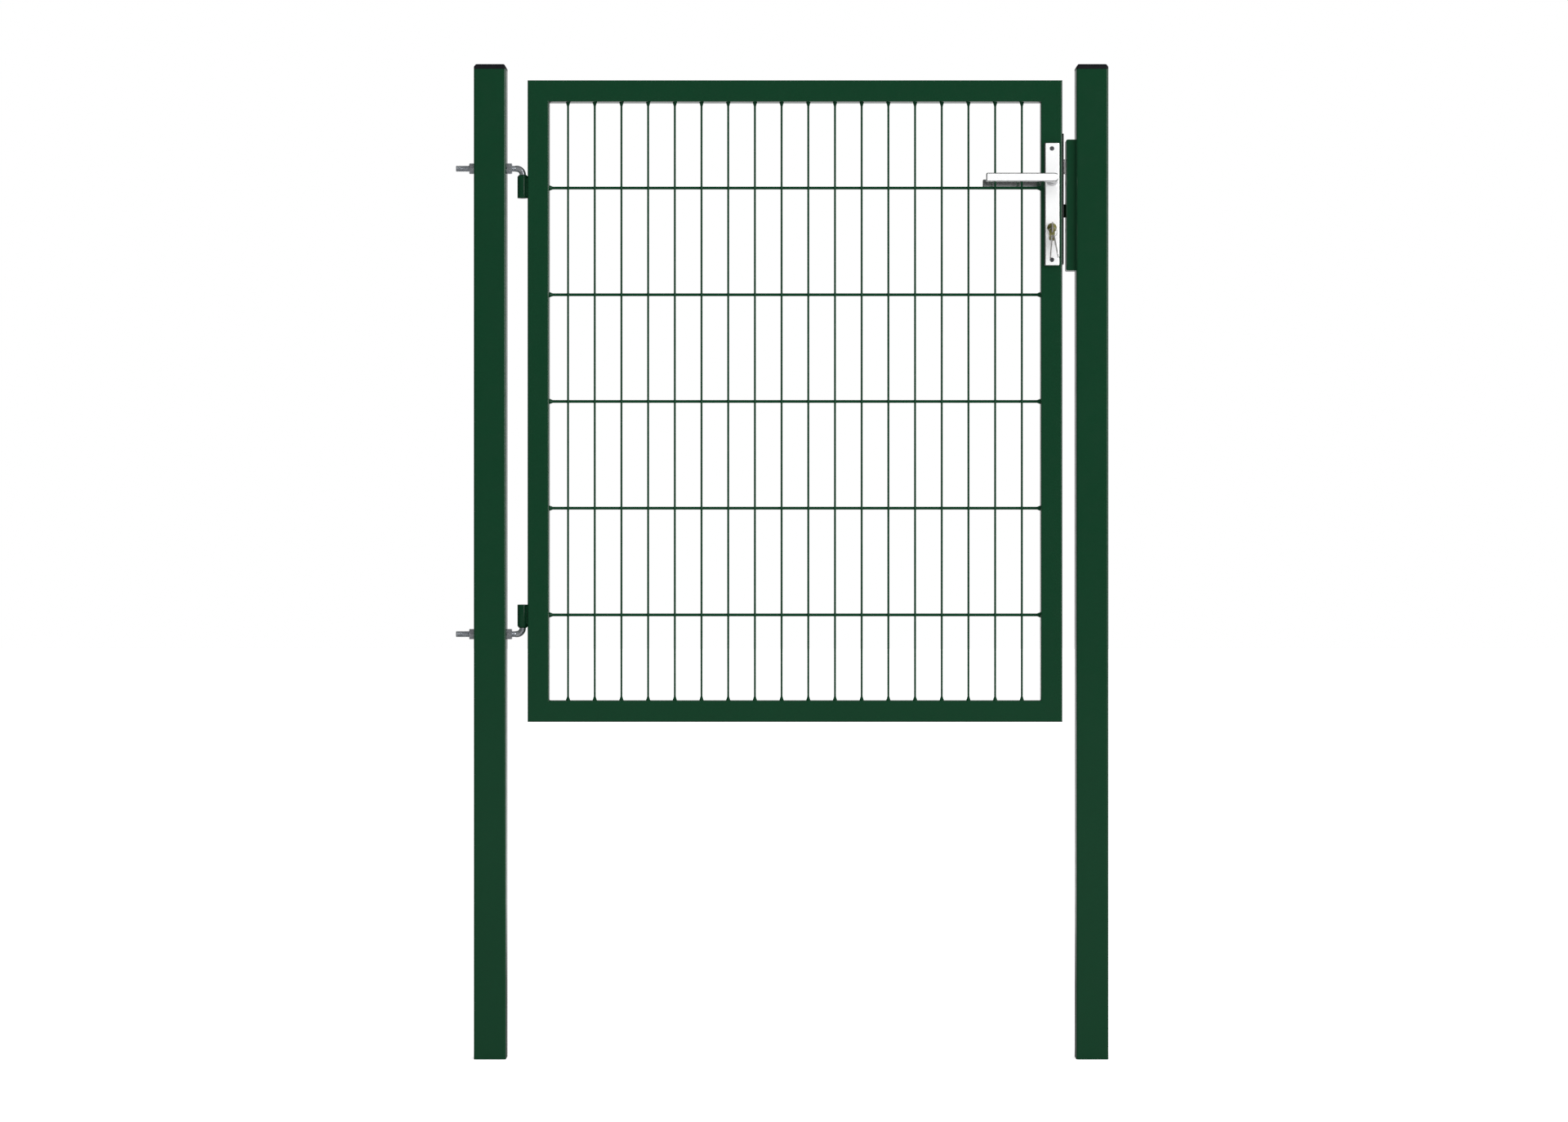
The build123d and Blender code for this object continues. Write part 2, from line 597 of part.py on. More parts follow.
case = block(X_CASE, X_LOCK, -CASE_THICK / 2, CASE_INNER, z_case_foot, z_case_top)
case -= block(X_CASE + CASE_WALL, X_LOCK - CASE_WALL, -CASE_INNER, CASE_INNER,
              z_case_foot + CASE_WALL, z_case_top - CASE_WALL)
cover = block(X_CASE, X_LOCK, CASE_INNER, CASE_THICK / 2, z_case_foot, z_case_top)

# bosses that take the cover screws
for x, z in case_corner_screws():
    case += bar_y(-CASE_INNER, CASE_INNER, x, z, CASE_SCREW_R + CASE_BOSS_WALL)
    case -= bar_y(-CASE_INNER + CASE_BOSS_WALL, CASE_INNER, x, z, CASE_SCREW_R + RUNNING)
    cover -= bar_y(CASE_INNER - OVERCUT, CASE_THICK, x, z, CASE_SCREW_R + RUNNING)

# windows for the two bolts, the follower, the cylinder and its screw
latch_half = LATCH_HEIGHT / 2 + LATCH_PLAY
bolt_half = DEAD_BOLT_HEIGHT / 2 + LATCH_PLAY
bolt_side = DEAD_BOLT_THICK / 2 + LATCH_PLAY
x_window = (X_LOCK - CASE_WALL - OVERCUT, X_FOREND + OVERCUT)
windows = [block(*x_window, -CASE_INNER, CASE_INNER, Z_LATCH - latch_half, Z_LATCH + latch_half),
           block(*x_window, -bolt_side, bolt_side, Z_DEAD_BOLT - bolt_half, Z_DEAD_BOLT + bolt_half)]
follower_hole = bar_y(-CASE_THICK, CASE_THICK, X_SPINDLE, Z_SPINDLE, FOLLOWER_R + RUNNING)
cylinder_hole = cylinder_prism(CYLINDER_PLAY, -CASE_THICK, CASE_THICK)
z_cylinder_screw = Z_CYLINDER - CYLINDER_SCREW_DROP
screw_way = bar_x(*x_window, 0, z_cylinder_screw, CYLINDER_SCREW_R + SLIDING)
for cut in windows + [follower_hole, cylinder_hole, screw_way]:
    case -= cut
cover = cover - follower_hole - cylinder_hole
save("lock_case", case)
save("lock_case_cover", cover)

cover_screws = []
for x, z in case_corner_screws():
    shank = bar_y(-CASE_INNER + CASE_SCREW_END, CASE_THICK / 2, x, z, CASE_SCREW_R)
    cover_screws.append(shank + bar_y(CASE_THICK / 2, CASE_THICK / 2 + CASE_HEAD, x, z, CASE_HEAD_R))
save("case_cover_screws", *cover_screws)

z_forend_top = Z_SPINDLE + FOREND_TOP
forend = block(X_LOCK, X_FOREND, -FOREND_WIDTH / 2, FOREND_WIDTH / 2,
               z_forend_top - FOREND_LENGTH, z_forend_top)
forend = fillet(forend.edges().filter_by(Axis.X), FOREND_CORNER_R)
for cut in windows:
    forend -= cut
for z_screw in FOREND_SCREWS:
    forend -= countersunk_x(X_FOREND, z_screw, FOREND_SCREW_R + SLIDING,
                            FOREND_HEAD_R + SLIDING, FOREND_THICK + OVERCUT)
    forend -= bar_x(X_LOCK - OVERCUT, X_LOCK + RIVET_FLANGE + RUNNING, 0, z_screw,
                    RIVET_FLANGE_R + SLIDING)
forend -= countersunk_x(X_FOREND, z_cylinder_screw, CYLINDER_SCREW_R + SLIDING,
                        CYLINDER_HEAD_R + SLIDING, FOREND_THICK + OVERCUT)
save("forend", forend)

forend_reach = FOREND_THICK + RIVET_LENGTH - RIVET_END
save("forend_screws", *[countersunk_x(X_FOREND, z, FOREND_SCREW_R, FOREND_HEAD_R, forend_reach)
                        for z in FOREND_SCREWS])
save("forend_rivet_nuts", *[rivet_nut(X_LOCK, z, 1, FOREND_SCREW_R) for z in FOREND_SCREWS])


# ---------------------------------------------------------------- latch, follower, dead bolt

def latch_bolt():
    """Bevelled head, tail above the follower and two lugs with the follower's tip between them."""
    side = CASE_INNER - LATCH_PLAY
    x_tip = X_FOREND + LATCH_REACH
    x_back = X_LOCK - LATCH_SUNK
    points = [(x_back, -side), (x_tip, -side), (x_tip, -side + LATCH_NOSE),
              (x_tip - LATCH_BEVEL, side), (x_back, side)]
    head = prism_z(points, Z_LATCH - LATCH_HEIGHT / 2, Z_LATCH + LATCH_HEIGHT / 2)
    upright = head.edges().filter_by(Axis.Z).sort_by(Axis.X)[-2:]
    head = fillet(upright, LATCH_EDGE_R)
    tip_x = X_SPINDLE + FOLLOWER_ARM * sin(radians(HANDLE_TURN_DEG / 2))
    reach = FOLLOWER_TIP_R + LUG_GAP
    z_tail = Z_SPINDLE + FOLLOWER_ARM + FOLLOWER_TIP_R + LATCH_ROOF
    half = LATCH_TAIL_THICK / 2
    tail = block(tip_x - reach - LUG_WIDTH, x_back, -half, half,
                 z_tail - LUG_DEPTH, z_tail + LATCH_TAIL_HEIGHT)
    return head + tail - block(tip_x - reach, tip_x + reach, -half, half, z_tail - LUG_DEPTH, z_tail)


def follower():
    """Hub with a square hole and an arm whose round tip pulls the latch back."""
    arm = Rectangle(FOLLOWER_ARM_WIDTH, FOLLOWER_ARM)
    arm = Pos(0, FOLLOWER_ARM / 2) * arm + Pos(0, FOLLOWER_ARM) * Circle(FOLLOWER_TIP_R)
    arm = Rot(0, 0, -HANDLE_TURN_DEG / 2) * arm
    half = CASE_THICK / 2 - SLIDING
    arm_half = FOLLOWER_ARM_THICK / 2
    side = SPINDLE / 2 + RUNNING
    piece = along_y(Circle(FOLLOWER_R), -half, half) + along_y(arm, -arm_half, arm_half)
    piece -= block(-side, side, -half - OVERCUT, half + OVERCUT, -side, side)
    return Pos(X_SPINDLE, 0, Z_SPINDLE) * piece


def dead_bolt():
    """Square-ended bolt with a thin lug at its back, just above the finger of the cam."""
    half = DEAD_BOLT_THICK / 2
    x_tip = X_FOREND - DEAD_BOLT_SUNK
    x_back = x_tip - DEAD_BOLT_LENGTH
    bolt = block(x_back, x_tip, -half, half,
                 Z_DEAD_BOLT - DEAD_BOLT_HEIGHT / 2, Z_DEAD_BOLT + DEAD_BOLT_HEIGHT / 2)
    x_lug = X_LOCK - CASE_WALL - DEAD_BOLT_THROW - LATCH_PLAY
    bolt += block(x_back, x_lug, -TALON_THICK / 2, TALON_THICK / 2,
                  Z_CYLINDER + CAM_R + CAM_CLEARANCE, Z_DEAD_BOLT)
    ends = bolt.faces().sort_by(Axis.X)[-1].edges()
    return chamfer(ends, BOLT_EDGE)


def follower_spring():
    """Torsion spring wound round the follower's hub, beside its arm."""
    coil = spring(FOLLOWER_SPRING_R, Circle(FOLLOWER_SPRING_WIRE), FOLLOWER_SPRING_TURNS,
                  FOLLOWER_SPRING_PITCH * FOLLOWER_SPRING_TURNS)
    y0 = FOLLOWER_ARM_THICK / 2 + FOLLOWER_SPRING_WIRE + FOLLOWER_SPRING_GAP
    return Pos(X_SPINDLE, y0, Z_SPINDLE) * Rot(-90, 0, 0) * coil


save("latch_bolt", latch_bolt())
save("follower", follower())
save("follower_spring", follower_spring())
save("dead_bolt", dead_bolt())


# ---------------------------------------------------------------- profile cylinder and keys

CAM_SLOT = CAM_WIDTH / 2 + SLIDING
PIN_PLACES = [CAM_SLOT + PIN_START + k * PIN_PITCH for k in range(PIN_COUNT)]
SHEAR = -(PLUG_R + RUNNING / 2)                  # height of the line between plug and body
KEYWAY_BOTTOM = -KEY_BLADE_HEIGHT / 2
CHAMBER_FOOT = -(CYLINDER_HEIGHT - CYLINDER_R - CHAMBER_CLOSED)


def about_cylinder(shape):
    """Move a shape made about the plug axis to its place in the lock."""
    return Pos(X_SPINDLE, 0, Z_CYLINDER) * shape


def key_cut(k):
    """How deep the key's k-th cut is, one of four steps."""
    return KEY_CUT_STEP * ((3 * k + 1) % 4)


def cylinder_body():
    """Brass body with two plug bores, a slot for the cam and the pin chambers."""
    body = cylinder_prism(0, -CYLINDER_HALF, CYLINDER_HALF)
    body -= about_cylinder(bar_y(-CYLINDER_HALF - OVERCUT, CYLINDER_HALF + OVERCUT, 0, 0,
                                 PLUG_R + RUNNING))
    wide = CYLINDER_R + OVERCUT
    body -= about_cylinder(block(-wide, wide, -CAM_SLOT, CAM_SLOT, -CAM_R - CAM_PLAY, wide))
    for side in (-1, 1):
        for y in PIN_PLACES:
            body -= about_cylinder(bar_z(CHAMBER_FOOT, 0, 0, side * y, PIN_CHAMBER_R))
    return body - bar_x(X_SPINDLE, X_LOCK, 0, z_cylinder_screw, CYLINDER_SCREW_R + RUNNING)


def plug(side):
    """Plug with its keyway and pin holes; side -1 is the front, 1 the rear."""
    y_face = side * (CYLINDER_HALF + PLUG_PROUD)
    y_cam = side * (CAM_SLOT + SLIDING)
    y_tail = side * SLIDING
    core = bar_y(min(y_face, y_cam), max(y_face, y_cam), 0, 0, PLUG_R)
    core += bar_y(min(y_cam, y_tail), max(y_cam, y_tail), 0, 0, PLUG_TAIL_R)
    slot = KEY_THICK / 2 + SLIDING
    y_slot = side * (CAM_SLOT + KEYWAY_END)
    core -= block(-slot, slot, min(y_face * 2, y_slot), max(y_face * 2, y_slot),
                  KEYWAY_BOTTOM - SLIDING, KEY_BLADE_HEIGHT / 2 + SLIDING)
    for y in PIN_PLACES:
        core -= bar_z(-PLUG_R - OVERCUT, 0, 0, side * y, PIN_CHAMBER_R)
    return about_cylinder(core)


def key_pin(side, k, lift):
    """Pointed pin that rests in the key's k-th cut, or is lifted off the shear line."""
    y = side * PIN_PLACES[k]
    z_tip = KEYWAY_BOTTOM + key_cut(k) - PIN_PLAY + lift
    z_point = z_tip - PIN_POINT
    low = RUNNING - sqrt(PLUG_R ** 2 - PIN_R ** 2) + lift
    pin = bar_z(low, z_point, 0, y, PIN_R) + cone_z(z_point, z_tip, 0, y, PIN_R, PIN_POINT_R)
    return about_cylinder(pin)


def driver_pin(side, k, lift):
    """Flat pin below the shear line, pushed up by its spring."""
    high = SHEAR - RUNNING + lift
    return about_cylinder(bar_z(high - DRIVER_LENGTH, high, 0, side * PIN_PLACES[k], PIN_R))


def pin_spring(side, k, lift):
    """Small coil spring between the driver pin and the foot of its chamber."""
    z0 = CHAMBER_FOOT + PIN_SPRING_WIRE + PIN_PLAY
    z1 = SHEAR - RUNNING + lift - DRIVER_LENGTH - PIN_SPRING_WIRE - PIN_PLAY
    wire = RegularPolygon(PIN_SPRING_WIRE, SPRING_SIDES)
    coil = spring(PIN_R - PIN_SPRING_WIRE, wire, PIN_SPRING_TURNS, z1 - z0)
    return about_cylinder(Pos(0, side * PIN_PLACES[k], z0) * coil)


def cam():
    """Ring between the plugs with the finger that throws the dead bolt."""
    half = CAM_WIDTH / 2
    ring = Circle(CAM_RING_R) + Pos(0, -CAM_R / 2) * Rectangle(CAM_FINGER, CAM_R)
    ring = (ring & Circle(CAM_R)) - Circle(CAM_BORE_R)
    return about_cylinder(along_y(ring, -half, half))


def key():
    """Key in its own frame: bow above, blade down along -Z, thickness along X, hole at the origin."""
    bow = RectangleRounded(KEY_BOW_HEIGHT, KEY_BOW_LENGTH, KEY_BOW_CORNER)
    bow = Pos(0, KEY_HOLE_INSET - KEY_BOW_LENGTH / 2) * bow
    z_shoulder = KEY_HOLE_INSET - KEY_BOW_LENGTH
    neck = Rectangle(KEY_BLADE_HEIGHT + 2 * KEY_NECK, KEY_NECK_LENGTH)
    neck = Pos(0, z_shoulder + KEY_NECK_LENGTH / 2) * neck
    blade = Pos(0, z_shoulder - KEY_BLADE_LENGTH / 2) * Rectangle(KEY_BLADE_HEIGHT, KEY_BLADE_LENGTH)
    outline = bow + neck + blade - Circle(KEY_HOLE_R)
    # cuts on the edge at -Y of the key, which faces down once the key is in the lock
    for k in range(PIN_COUNT):
        along = CYLINDER_HALF + PLUG_PROUD + KEY_STANDOFF - PIN_PLACES[k]
        depth = key_cut(k)
        if depth > 0:
            mouth = KEY_CUT_FLOOR + KEY_CUT_SLOPE * depth
            tooth = Polygon((-mouth, 0), (mouth, 0), (KEY_CUT_FLOOR, -depth), (-KEY_CUT_FLOOR, -depth),
                            align=None)
            outline -= Pos(-KEY_BLADE_HEIGHT / 2, z_shoulder - along) * Rot(0, 0, 90) * tooth
    for turn in (-1, 1):
        corner = Polygon((0, 0), (-turn * KEY_POINT, 0), (0, KEY_POINT), align=None)
        outline -= Pos(turn * KEY_BLADE_HEIGHT / 2, z_shoulder - KEY_BLADE_LENGTH) * corner
    flat = Plane(origin=(-KEY_THICK / 2, 0, 0), x_dir=(0, 1, 0), z_dir=(1, 0, 0)) * outline
    return extrude(flat, KEY_THICK)


Y_KEY_SHOULDER = -(CYLINDER_HALF + PLUG_PROUD + KEY_STANDOFF)
Y_KEY_HOLE = Y_KEY_SHOULDER - (KEY_BOW_LENGTH - KEY_HOLE_INSET)

save("cylinder_body", cylinder_body())
save("front_plug", plug(-1))
save("rear_plug", plug(1))
save("lock_cam", cam())
save("front_key_pins", *[key_pin(-1, k, 0) for k in range(PIN_COUNT)])
save("rear_key_pins", *[key_pin(1, k, REAR_LIFT) for k in range(PIN_COUNT)])
stacks = [(side, k, lift) for side, lift in ((-1, 0), (1, REAR_LIFT)) for k in range(PIN_COUNT)]
save("driver_pins", *[driver_pin(*stack) for stack in stacks])
save("pin_springs", *[pin_spring(*stack) for stack in stacks])
save("cylinder_screw", countersunk_x(X_FOREND, z_cylinder_screw, CYLINDER_SCREW_R, CYLINDER_HEAD_R,
                                     X_FOREND - X_SPINDLE - OVERCUT))

# turned so that the blade points into the lock (+Y) and its cut edge faces down
key_in_lock = Pos(X_SPINDLE, Y_KEY_HOLE, Z_CYLINDER) * Rot(90, 0, 0) * key()
save("key", key_in_lock)

z_ring_top = Z_CYLINDER - RING_DROP
z_ring = z_ring_top - RING_R
ring = Pos(X_SPINDLE, Y_KEY_HOLE, z_ring) * Rot(90, 0, 0) * Torus(RING_R, RING_WIRE)
save("key_ring", ring)

spare_keys = []
for offset, lean in SPARE_KEY_PLACES:
    z_wire = z_ring - sqrt(RING_R ** 2 - offset ** 2)
    hang = Pos(X_SPINDLE + offset, Y_KEY_HOLE, z_wire) * Rot(0, -lean, 0) * Pos(0, 0, -RING_DROP)
    spare_keys.append(hang * key())
save("spare_keys", *spare_keys)


# ---------------------------------------------------------------- plates, bushes, handles

def plate(side):
    """Narrow hollow plate on the leaf's face; side -1 is the front, 1 the rear."""
    z_top = Z_SPINDLE + PLATE_TOP
    z_foot = z_top - PLATE_LENGTH
    half = PLATE_WIDTH / 2
    shell = block(X_SPINDLE - half, X_SPINDLE + half, 0, PLATE_DEPTH, z_foot, z_top)
    shell = fillet(shell.edges().filter_by(Axis.Y), PLATE_CORNER_R)
    shell = fillet(shell.faces().sort_by(Axis.Y)[-1].edges(), PLATE_EDGE_R)
    inner = half - PLATE_SKIN
    shell -= block(X_SPINDLE - inner, X_SPINDLE + inner, -OVERCUT, PLATE_DEPTH - PLATE_SKIN,
                   z_foot + PLATE_SKIN, z_top - PLATE_SKIN)
    for z_screw in (UPPER_PLATE_SCREW, LOWER_PLATE_SCREW):
        shell += bar_y(0, PLATE_DEPTH - PLATE_SKIN, X_SPINDLE, z_screw, PLATE_BOSS_R)
    shell += bar_y(0, PLATE_DEPTH - PLATE_SKIN, X_SPINDLE, Z_SPINDLE, BUSH_R + PLATE_SKIN)
    shell -= bar_y(-OVERCUT, PLATE_DEPTH + OVERCUT, X_SPINDLE, Z_SPINDLE, BUSH_R + SLIDING / 2)
    shell = Pos(0, FACE, 0) * shell
    if side < 0:
        shell = mirror(shell, Plane.XZ)
    return shell - cylinder_prism(CYLINDER_PLAY, -TUBE, TUBE)


def screw_head(side, shank_r, z, play):
    """Countersunk head, flush in the plate on one side and grown by play, as a cone along Y."""
    depth = PLATE_HEAD_R - shank_r
    wide, narrow = PLATE_HEAD_R + play, shank_r + play
    if side < 0:
        return cone_y(-PLATE_FACE, -PLATE_FACE + depth, X_SPINDLE, z, wide, narrow)
    return cone_y(PLATE_FACE - depth, PLATE_FACE, X_SPINDLE, z, narrow, wide)


def screw_socket(y_face, z):
    """Hexagon recess along Y, cut into the face of a plate screw."""
    points = [(X_SPINDLE + x, z + rise) for x, rise in hexagon(SOCKET_FLATS)]
    return prism_y(points, y_face - SOCKET_DEPTH, y_face + SOCKET_DEPTH)


front_plate, rear_plate = plate(-1), plate(1)
plate_screws, plate_sleeves = [], []
for z in (UPPER_PLATE_SCREW, LOWER_PLATE_SCREW):
    screw = screw_head(-1, PLATE_SCREW_R, z, 0)
    screw += bar_y(-PLATE_FACE + OVERCUT, -PLATE_FACE + SCREW_LENGTH, X_SPINDLE, z, PLATE_SCREW_R)
    plate_screws.append(screw - screw_socket(-PLATE_FACE, z))
    sleeve = screw_head(1, SLEEVE_R, z, 0)
    sleeve += bar_y(PLATE_FACE - SLEEVE_LENGTH, PLATE_FACE - (PLATE_HEAD_R - SLEEVE_R) / 2,
                    X_SPINDLE, z, SLEEVE_R)
    sleeve -= bar_y(-PLATE_FACE, PLATE_FACE - SLEEVE_BORE_END, X_SPINDLE, z, PLATE_SCREW_R + RUNNING)
    plate_sleeves.append(sleeve - screw_socket(PLATE_FACE, z))
    front_plate -= bar_y(-TUBE, 0, X_SPINDLE, z, PLATE_SCREW_R + SLIDING)
    front_plate -= screw_head(-1, PLATE_SCREW_R, z, SLIDING)
    rear_plate -= bar_y(0, TUBE, X_SPINDLE, z, SLEEVE_R + SLIDING)
    rear_plate -= screw_head(1, SLEEVE_R, z, SLIDING)
save("front_plate", front_plate)
save("rear_plate", rear_plate)
save("plate_screws", *plate_screws)
save("plate_sleeve_nuts", *plate_sleeves)


def handle_bush(side):
    """Plastic bearing of the handle's neck in the plate."""
    bush = bar_y(BUSH_INSET, PLATE_DEPTH, 0, 0, BUSH_R)
    bush += bar_y(PLATE_DEPTH, PLATE_DEPTH + BUSH_FLANGE, 0, 0, BUSH_FLANGE_R)
    bush -= bar_y(0, TUBE, 0, 0, NECK_R + RUNNING)
    turn = Rot(0, 0, 180) if side < 0 else Rot(0, 0, 0)
    return Pos(X_SPINDLE, side * FACE, Z_SPINDLE) * turn * bush


def lever_handle(side):
    """Flat lever with a round pivot end, on a round neck with a square socket for the spindle."""
    end_r = LEVER_HEIGHT / 2
    length = LEVER_LENGTH + LEVER_OVERHANG - end_r
    outline = Pos(LEVER_OVERHANG - end_r - length / 2, 0) * RectangleRounded(
        length, LEVER_HEIGHT, LEVER_END_R)
    outline += Pos(LEVER_OVERHANG - end_r - length / 4, 0) * Rectangle(length / 2, LEVER_HEIGHT)
    outline += Pos(LEVER_OVERHANG - end_r, 0) * Circle(end_r)
    half = LEVER_THICK / 2
    lever = along_y(outline, LEVER_MIDDLE - half, LEVER_MIDDLE + half)
    outer = lever.faces().sort_by(Axis.Y)[-1].edges()
    inner = lever.faces().sort_by(Axis.Y)[0].edges()
    lever = fillet(outer + inner, LEVER_EDGE_R)
    neck = bar_y(FACE + SLIDING, LEVER_MIDDLE, 0, 0, NECK_R)
    socket = SPINDLE / 2 + RUNNING
    handle = lever + neck
    handle -= block(-socket, socket, 0, LEVER_MIDDLE - half - LEVER_SOCKET_END, -socket, socket)
    handle -= bar_z(-NECK_R - OVERCUT, 0, 0, PLATE_FACE + GRUB_OFFSET, GRUB_R + RUNNING)
    if side < 0:
        handle = mirror(handle, Plane.XZ)
    return Pos(X_SPINDLE, 0, Z_SPINDLE) * handle


def grub_screw(side):
    """Short screw under the neck that holds the handle on the spindle."""
    foot = GRUB_SUNK - NECK_R
    screw = bar_z(foot, -SPINDLE / 2 - RUNNING, 0, 0, GRUB_R)
    screw -= bar_z(foot - OVERCUT, foot + GRUB_SOCKET, 0, 0, GRUB_R / 2)
    return Pos(X_SPINDLE, side * (PLATE_FACE + GRUB_OFFSET), Z_SPINDLE) * screw


save("handle_bushes", handle_bush(-1), handle_bush(1))
save("front_handle", lever_handle(-1))
save("rear_handle", lever_handle(1))
save("handle_grub_screws", grub_screw(-1), grub_screw(1))
spindle_half = LEVER_MIDDLE - LEVER_THICK / 2 - LEVER_SOCKET_END - SPINDLE_PLAY
side = SPINDLE / 2
spindle = block(X_SPINDLE - side, X_SPINDLE + side, -spindle_half, spindle_half,
                Z_SPINDLE - side, Z_SPINDLE + side)
save("spindle", chamfer(spindle.edges().filter_by(Axis.Y), SPINDLE_EDGE))


# ---------------------------------------------------------------- keeper and stop

z_keeper_top = Z_SPINDLE + KEEPER_TOP
keeper = block(X_KEEPER, X_LATCH_POST, -KEEPER_DEPTH / 2, KEEPER_DEPTH / 2,
               z_keeper_top - KEEPER_LENGTH, z_keeper_top)
keeper = fillet(keeper.faces().sort_by(Axis.X)[0].edges(), KEEPER_EDGE_R)
for z_screw in KEEPER_SCREWS:
    keeper -= bar_x(X_KEEPER, X_LATCH_POST, 0, z_screw, KEEPER_SCREW_R + SLIDING)
    keeper -= bar_x(X_KEEPER - OVERCUT, X_KEEPER + KEEPER_HEAD_SUNK + KEEPER_HEAD, 0, z_screw,
                    KEEPER_HEAD_R + SLIDING)
    keeper -= bar_x(X_LATCH_POST - RIVET_FLANGE - SLIDING, X_LATCH_POST + OVERCUT, 0, z_screw,
                    RIVET_FLANGE_R + SLIDING)
latch_side = CASE_INNER + POCKET_PLAY
keeper -= block(X_KEEPER - OVERCUT, X_FOREND + LATCH_REACH + POCKET_PLAY, -latch_side, latch_side,
                Z_LATCH - LATCH_HEIGHT / 2 - POCKET_PLAY, Z_LATCH + LATCH_HEIGHT / 2 + POCKET_PLAY)
pocket_side = DEAD_BOLT_THICK / 2 + POCKET_PLAY
keeper -= block(X_KEEPER - OVERCUT, X_FOREND - DEAD_BOLT_SUNK + DEAD_BOLT_THROW + POCKET_PLAY / 2,
                -pocket_side, pocket_side,
                Z_DEAD_BOLT - DEAD_BOLT_HEIGHT / 2 - POCKET_PLAY,
                Z_DEAD_BOLT + DEAD_BOLT_HEIGHT / 2 + POCKET_PLAY)
save("keeper", keeper)

keeper_screws = []
x_head = X_KEEPER + KEEPER_HEAD_SUNK
x_seat = x_head + KEEPER_HEAD
socket = extrude(Polygon(*hexagon(KEEPER_SOCKET_FLATS), align=None), KEEPER_SOCKET)
for z_screw in KEEPER_SCREWS:
    screw = bar_x(x_head, x_seat, 0, z_screw, KEEPER_HEAD_R)
    screw += bar_x(x_seat, X_LATCH_POST + POST_WALL + KEEPER_SCREW_REACH, 0, z_screw, KEEPER_SCREW_R)
    recess = Plane(origin=(x_head, 0, z_screw), x_dir=(0, 1, 0), z_dir=(1, 0, 0)) * socket
    keeper_screws.append(screw - recess)
save("keeper_screws", *keeper_screws)
save("keeper_rivet_nuts", *[rivet_nut(X_LATCH_POST, z, -1, KEEPER_SCREW_R) for z in KEEPER_SCREWS])

# the stop is a plate welded behind the keeper and set back where it carries the buffer
z_stop = Z_SPINDLE - STOP_DROP
y_plate = KEEPER_DEPTH / 2
y_tongue = FACE + REST_GAP + BUFFER_THICK
x_step = X_LOCK + FOREND_THICK
points = [(X_LATCH_POST, y_plate), (X_KEEPER, y_plate), (x_step, y_tongue),
          (X_LOCK - STOP_REACH, y_tongue), (X_LOCK - STOP_REACH, y_tongue + STOP_THICK),
          (x_step, y_tongue + STOP_THICK), (X_KEEPER, y_plate + STOP_THICK),
          (X_LATCH_POST, y_plate + STOP_THICK)]
save("leaf_stop", prism_z(points, z_stop - STOP_HEIGHT / 2, z_stop + STOP_HEIGHT / 2))
pad = block(X_LOCK - STOP_REACH, X_LOCK, FACE + REST_GAP, y_tongue,
            z_stop - STOP_HEIGHT / 2, z_stop + STOP_HEIGHT / 2)
save("stop_buffer", fillet(pad.faces().sort_by(Axis.Y)[0].edges(), BUFFER_EDGE_R))
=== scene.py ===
"""Looks of the garden gate: detailed meshes, procedural finishes, light and camera.

Metres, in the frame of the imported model: +Z up, and the front of the gate looks towards -Y.
"""

import json
from math import pi, radians, tau

import bpy
import numpy as np
from mathutils.geometry import tessellate_polygon
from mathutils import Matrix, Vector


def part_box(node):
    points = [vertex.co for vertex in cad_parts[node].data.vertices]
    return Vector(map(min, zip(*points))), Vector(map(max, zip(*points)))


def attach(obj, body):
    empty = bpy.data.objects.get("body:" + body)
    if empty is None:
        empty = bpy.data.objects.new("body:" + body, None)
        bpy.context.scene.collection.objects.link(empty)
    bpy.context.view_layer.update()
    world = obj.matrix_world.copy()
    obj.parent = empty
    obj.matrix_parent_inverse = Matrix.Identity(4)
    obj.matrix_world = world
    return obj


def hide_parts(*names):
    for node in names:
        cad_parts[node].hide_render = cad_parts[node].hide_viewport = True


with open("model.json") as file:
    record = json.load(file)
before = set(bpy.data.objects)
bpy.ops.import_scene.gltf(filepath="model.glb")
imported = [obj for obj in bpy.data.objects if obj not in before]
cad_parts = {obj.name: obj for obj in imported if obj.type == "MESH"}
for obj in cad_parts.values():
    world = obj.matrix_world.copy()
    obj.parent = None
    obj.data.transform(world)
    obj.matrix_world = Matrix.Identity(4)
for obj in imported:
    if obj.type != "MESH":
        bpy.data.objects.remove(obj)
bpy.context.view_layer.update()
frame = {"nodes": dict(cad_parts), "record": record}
MM = 0.001


# ---------------------------------------------------------------- shader maths

class Value:
    """An output socket that takes plain arithmetic: each operation adds a Math node."""

    def __init__(self, finish, socket):
        self.finish = finish
        self.socket = socket

    def math(self, operation, first, second):
        return self.finish.node("ShaderNodeMath", {"operation": operation}, {0: first, 1: second})

    def __add__(self, other):
        return self.math("ADD", self, other)

    def __radd__(self, other):
        return self.math("ADD", other, self)

    def __mul__(self, other):
        return self.math("MULTIPLY", self, other)

    def __rmul__(self, other):
        return self.math("MULTIPLY", other, self)

    def __sub__(self, other):
        return self.math("SUBTRACT", self, other)

    def __rsub__(self, other):
        return self.math("SUBTRACT", other, self)

    def __abs__(self):
        return self.math("ABSOLUTE", self, 0.0)

    def between(self, low, high, start=0.0, end=1.0):
        """start below low, end above high, straight in between."""
        return self.finish.node("ShaderNodeMapRange", {}, {
            "Value": self, "From Min": low, "From Max": high, "To Min": start, "To Max": end})


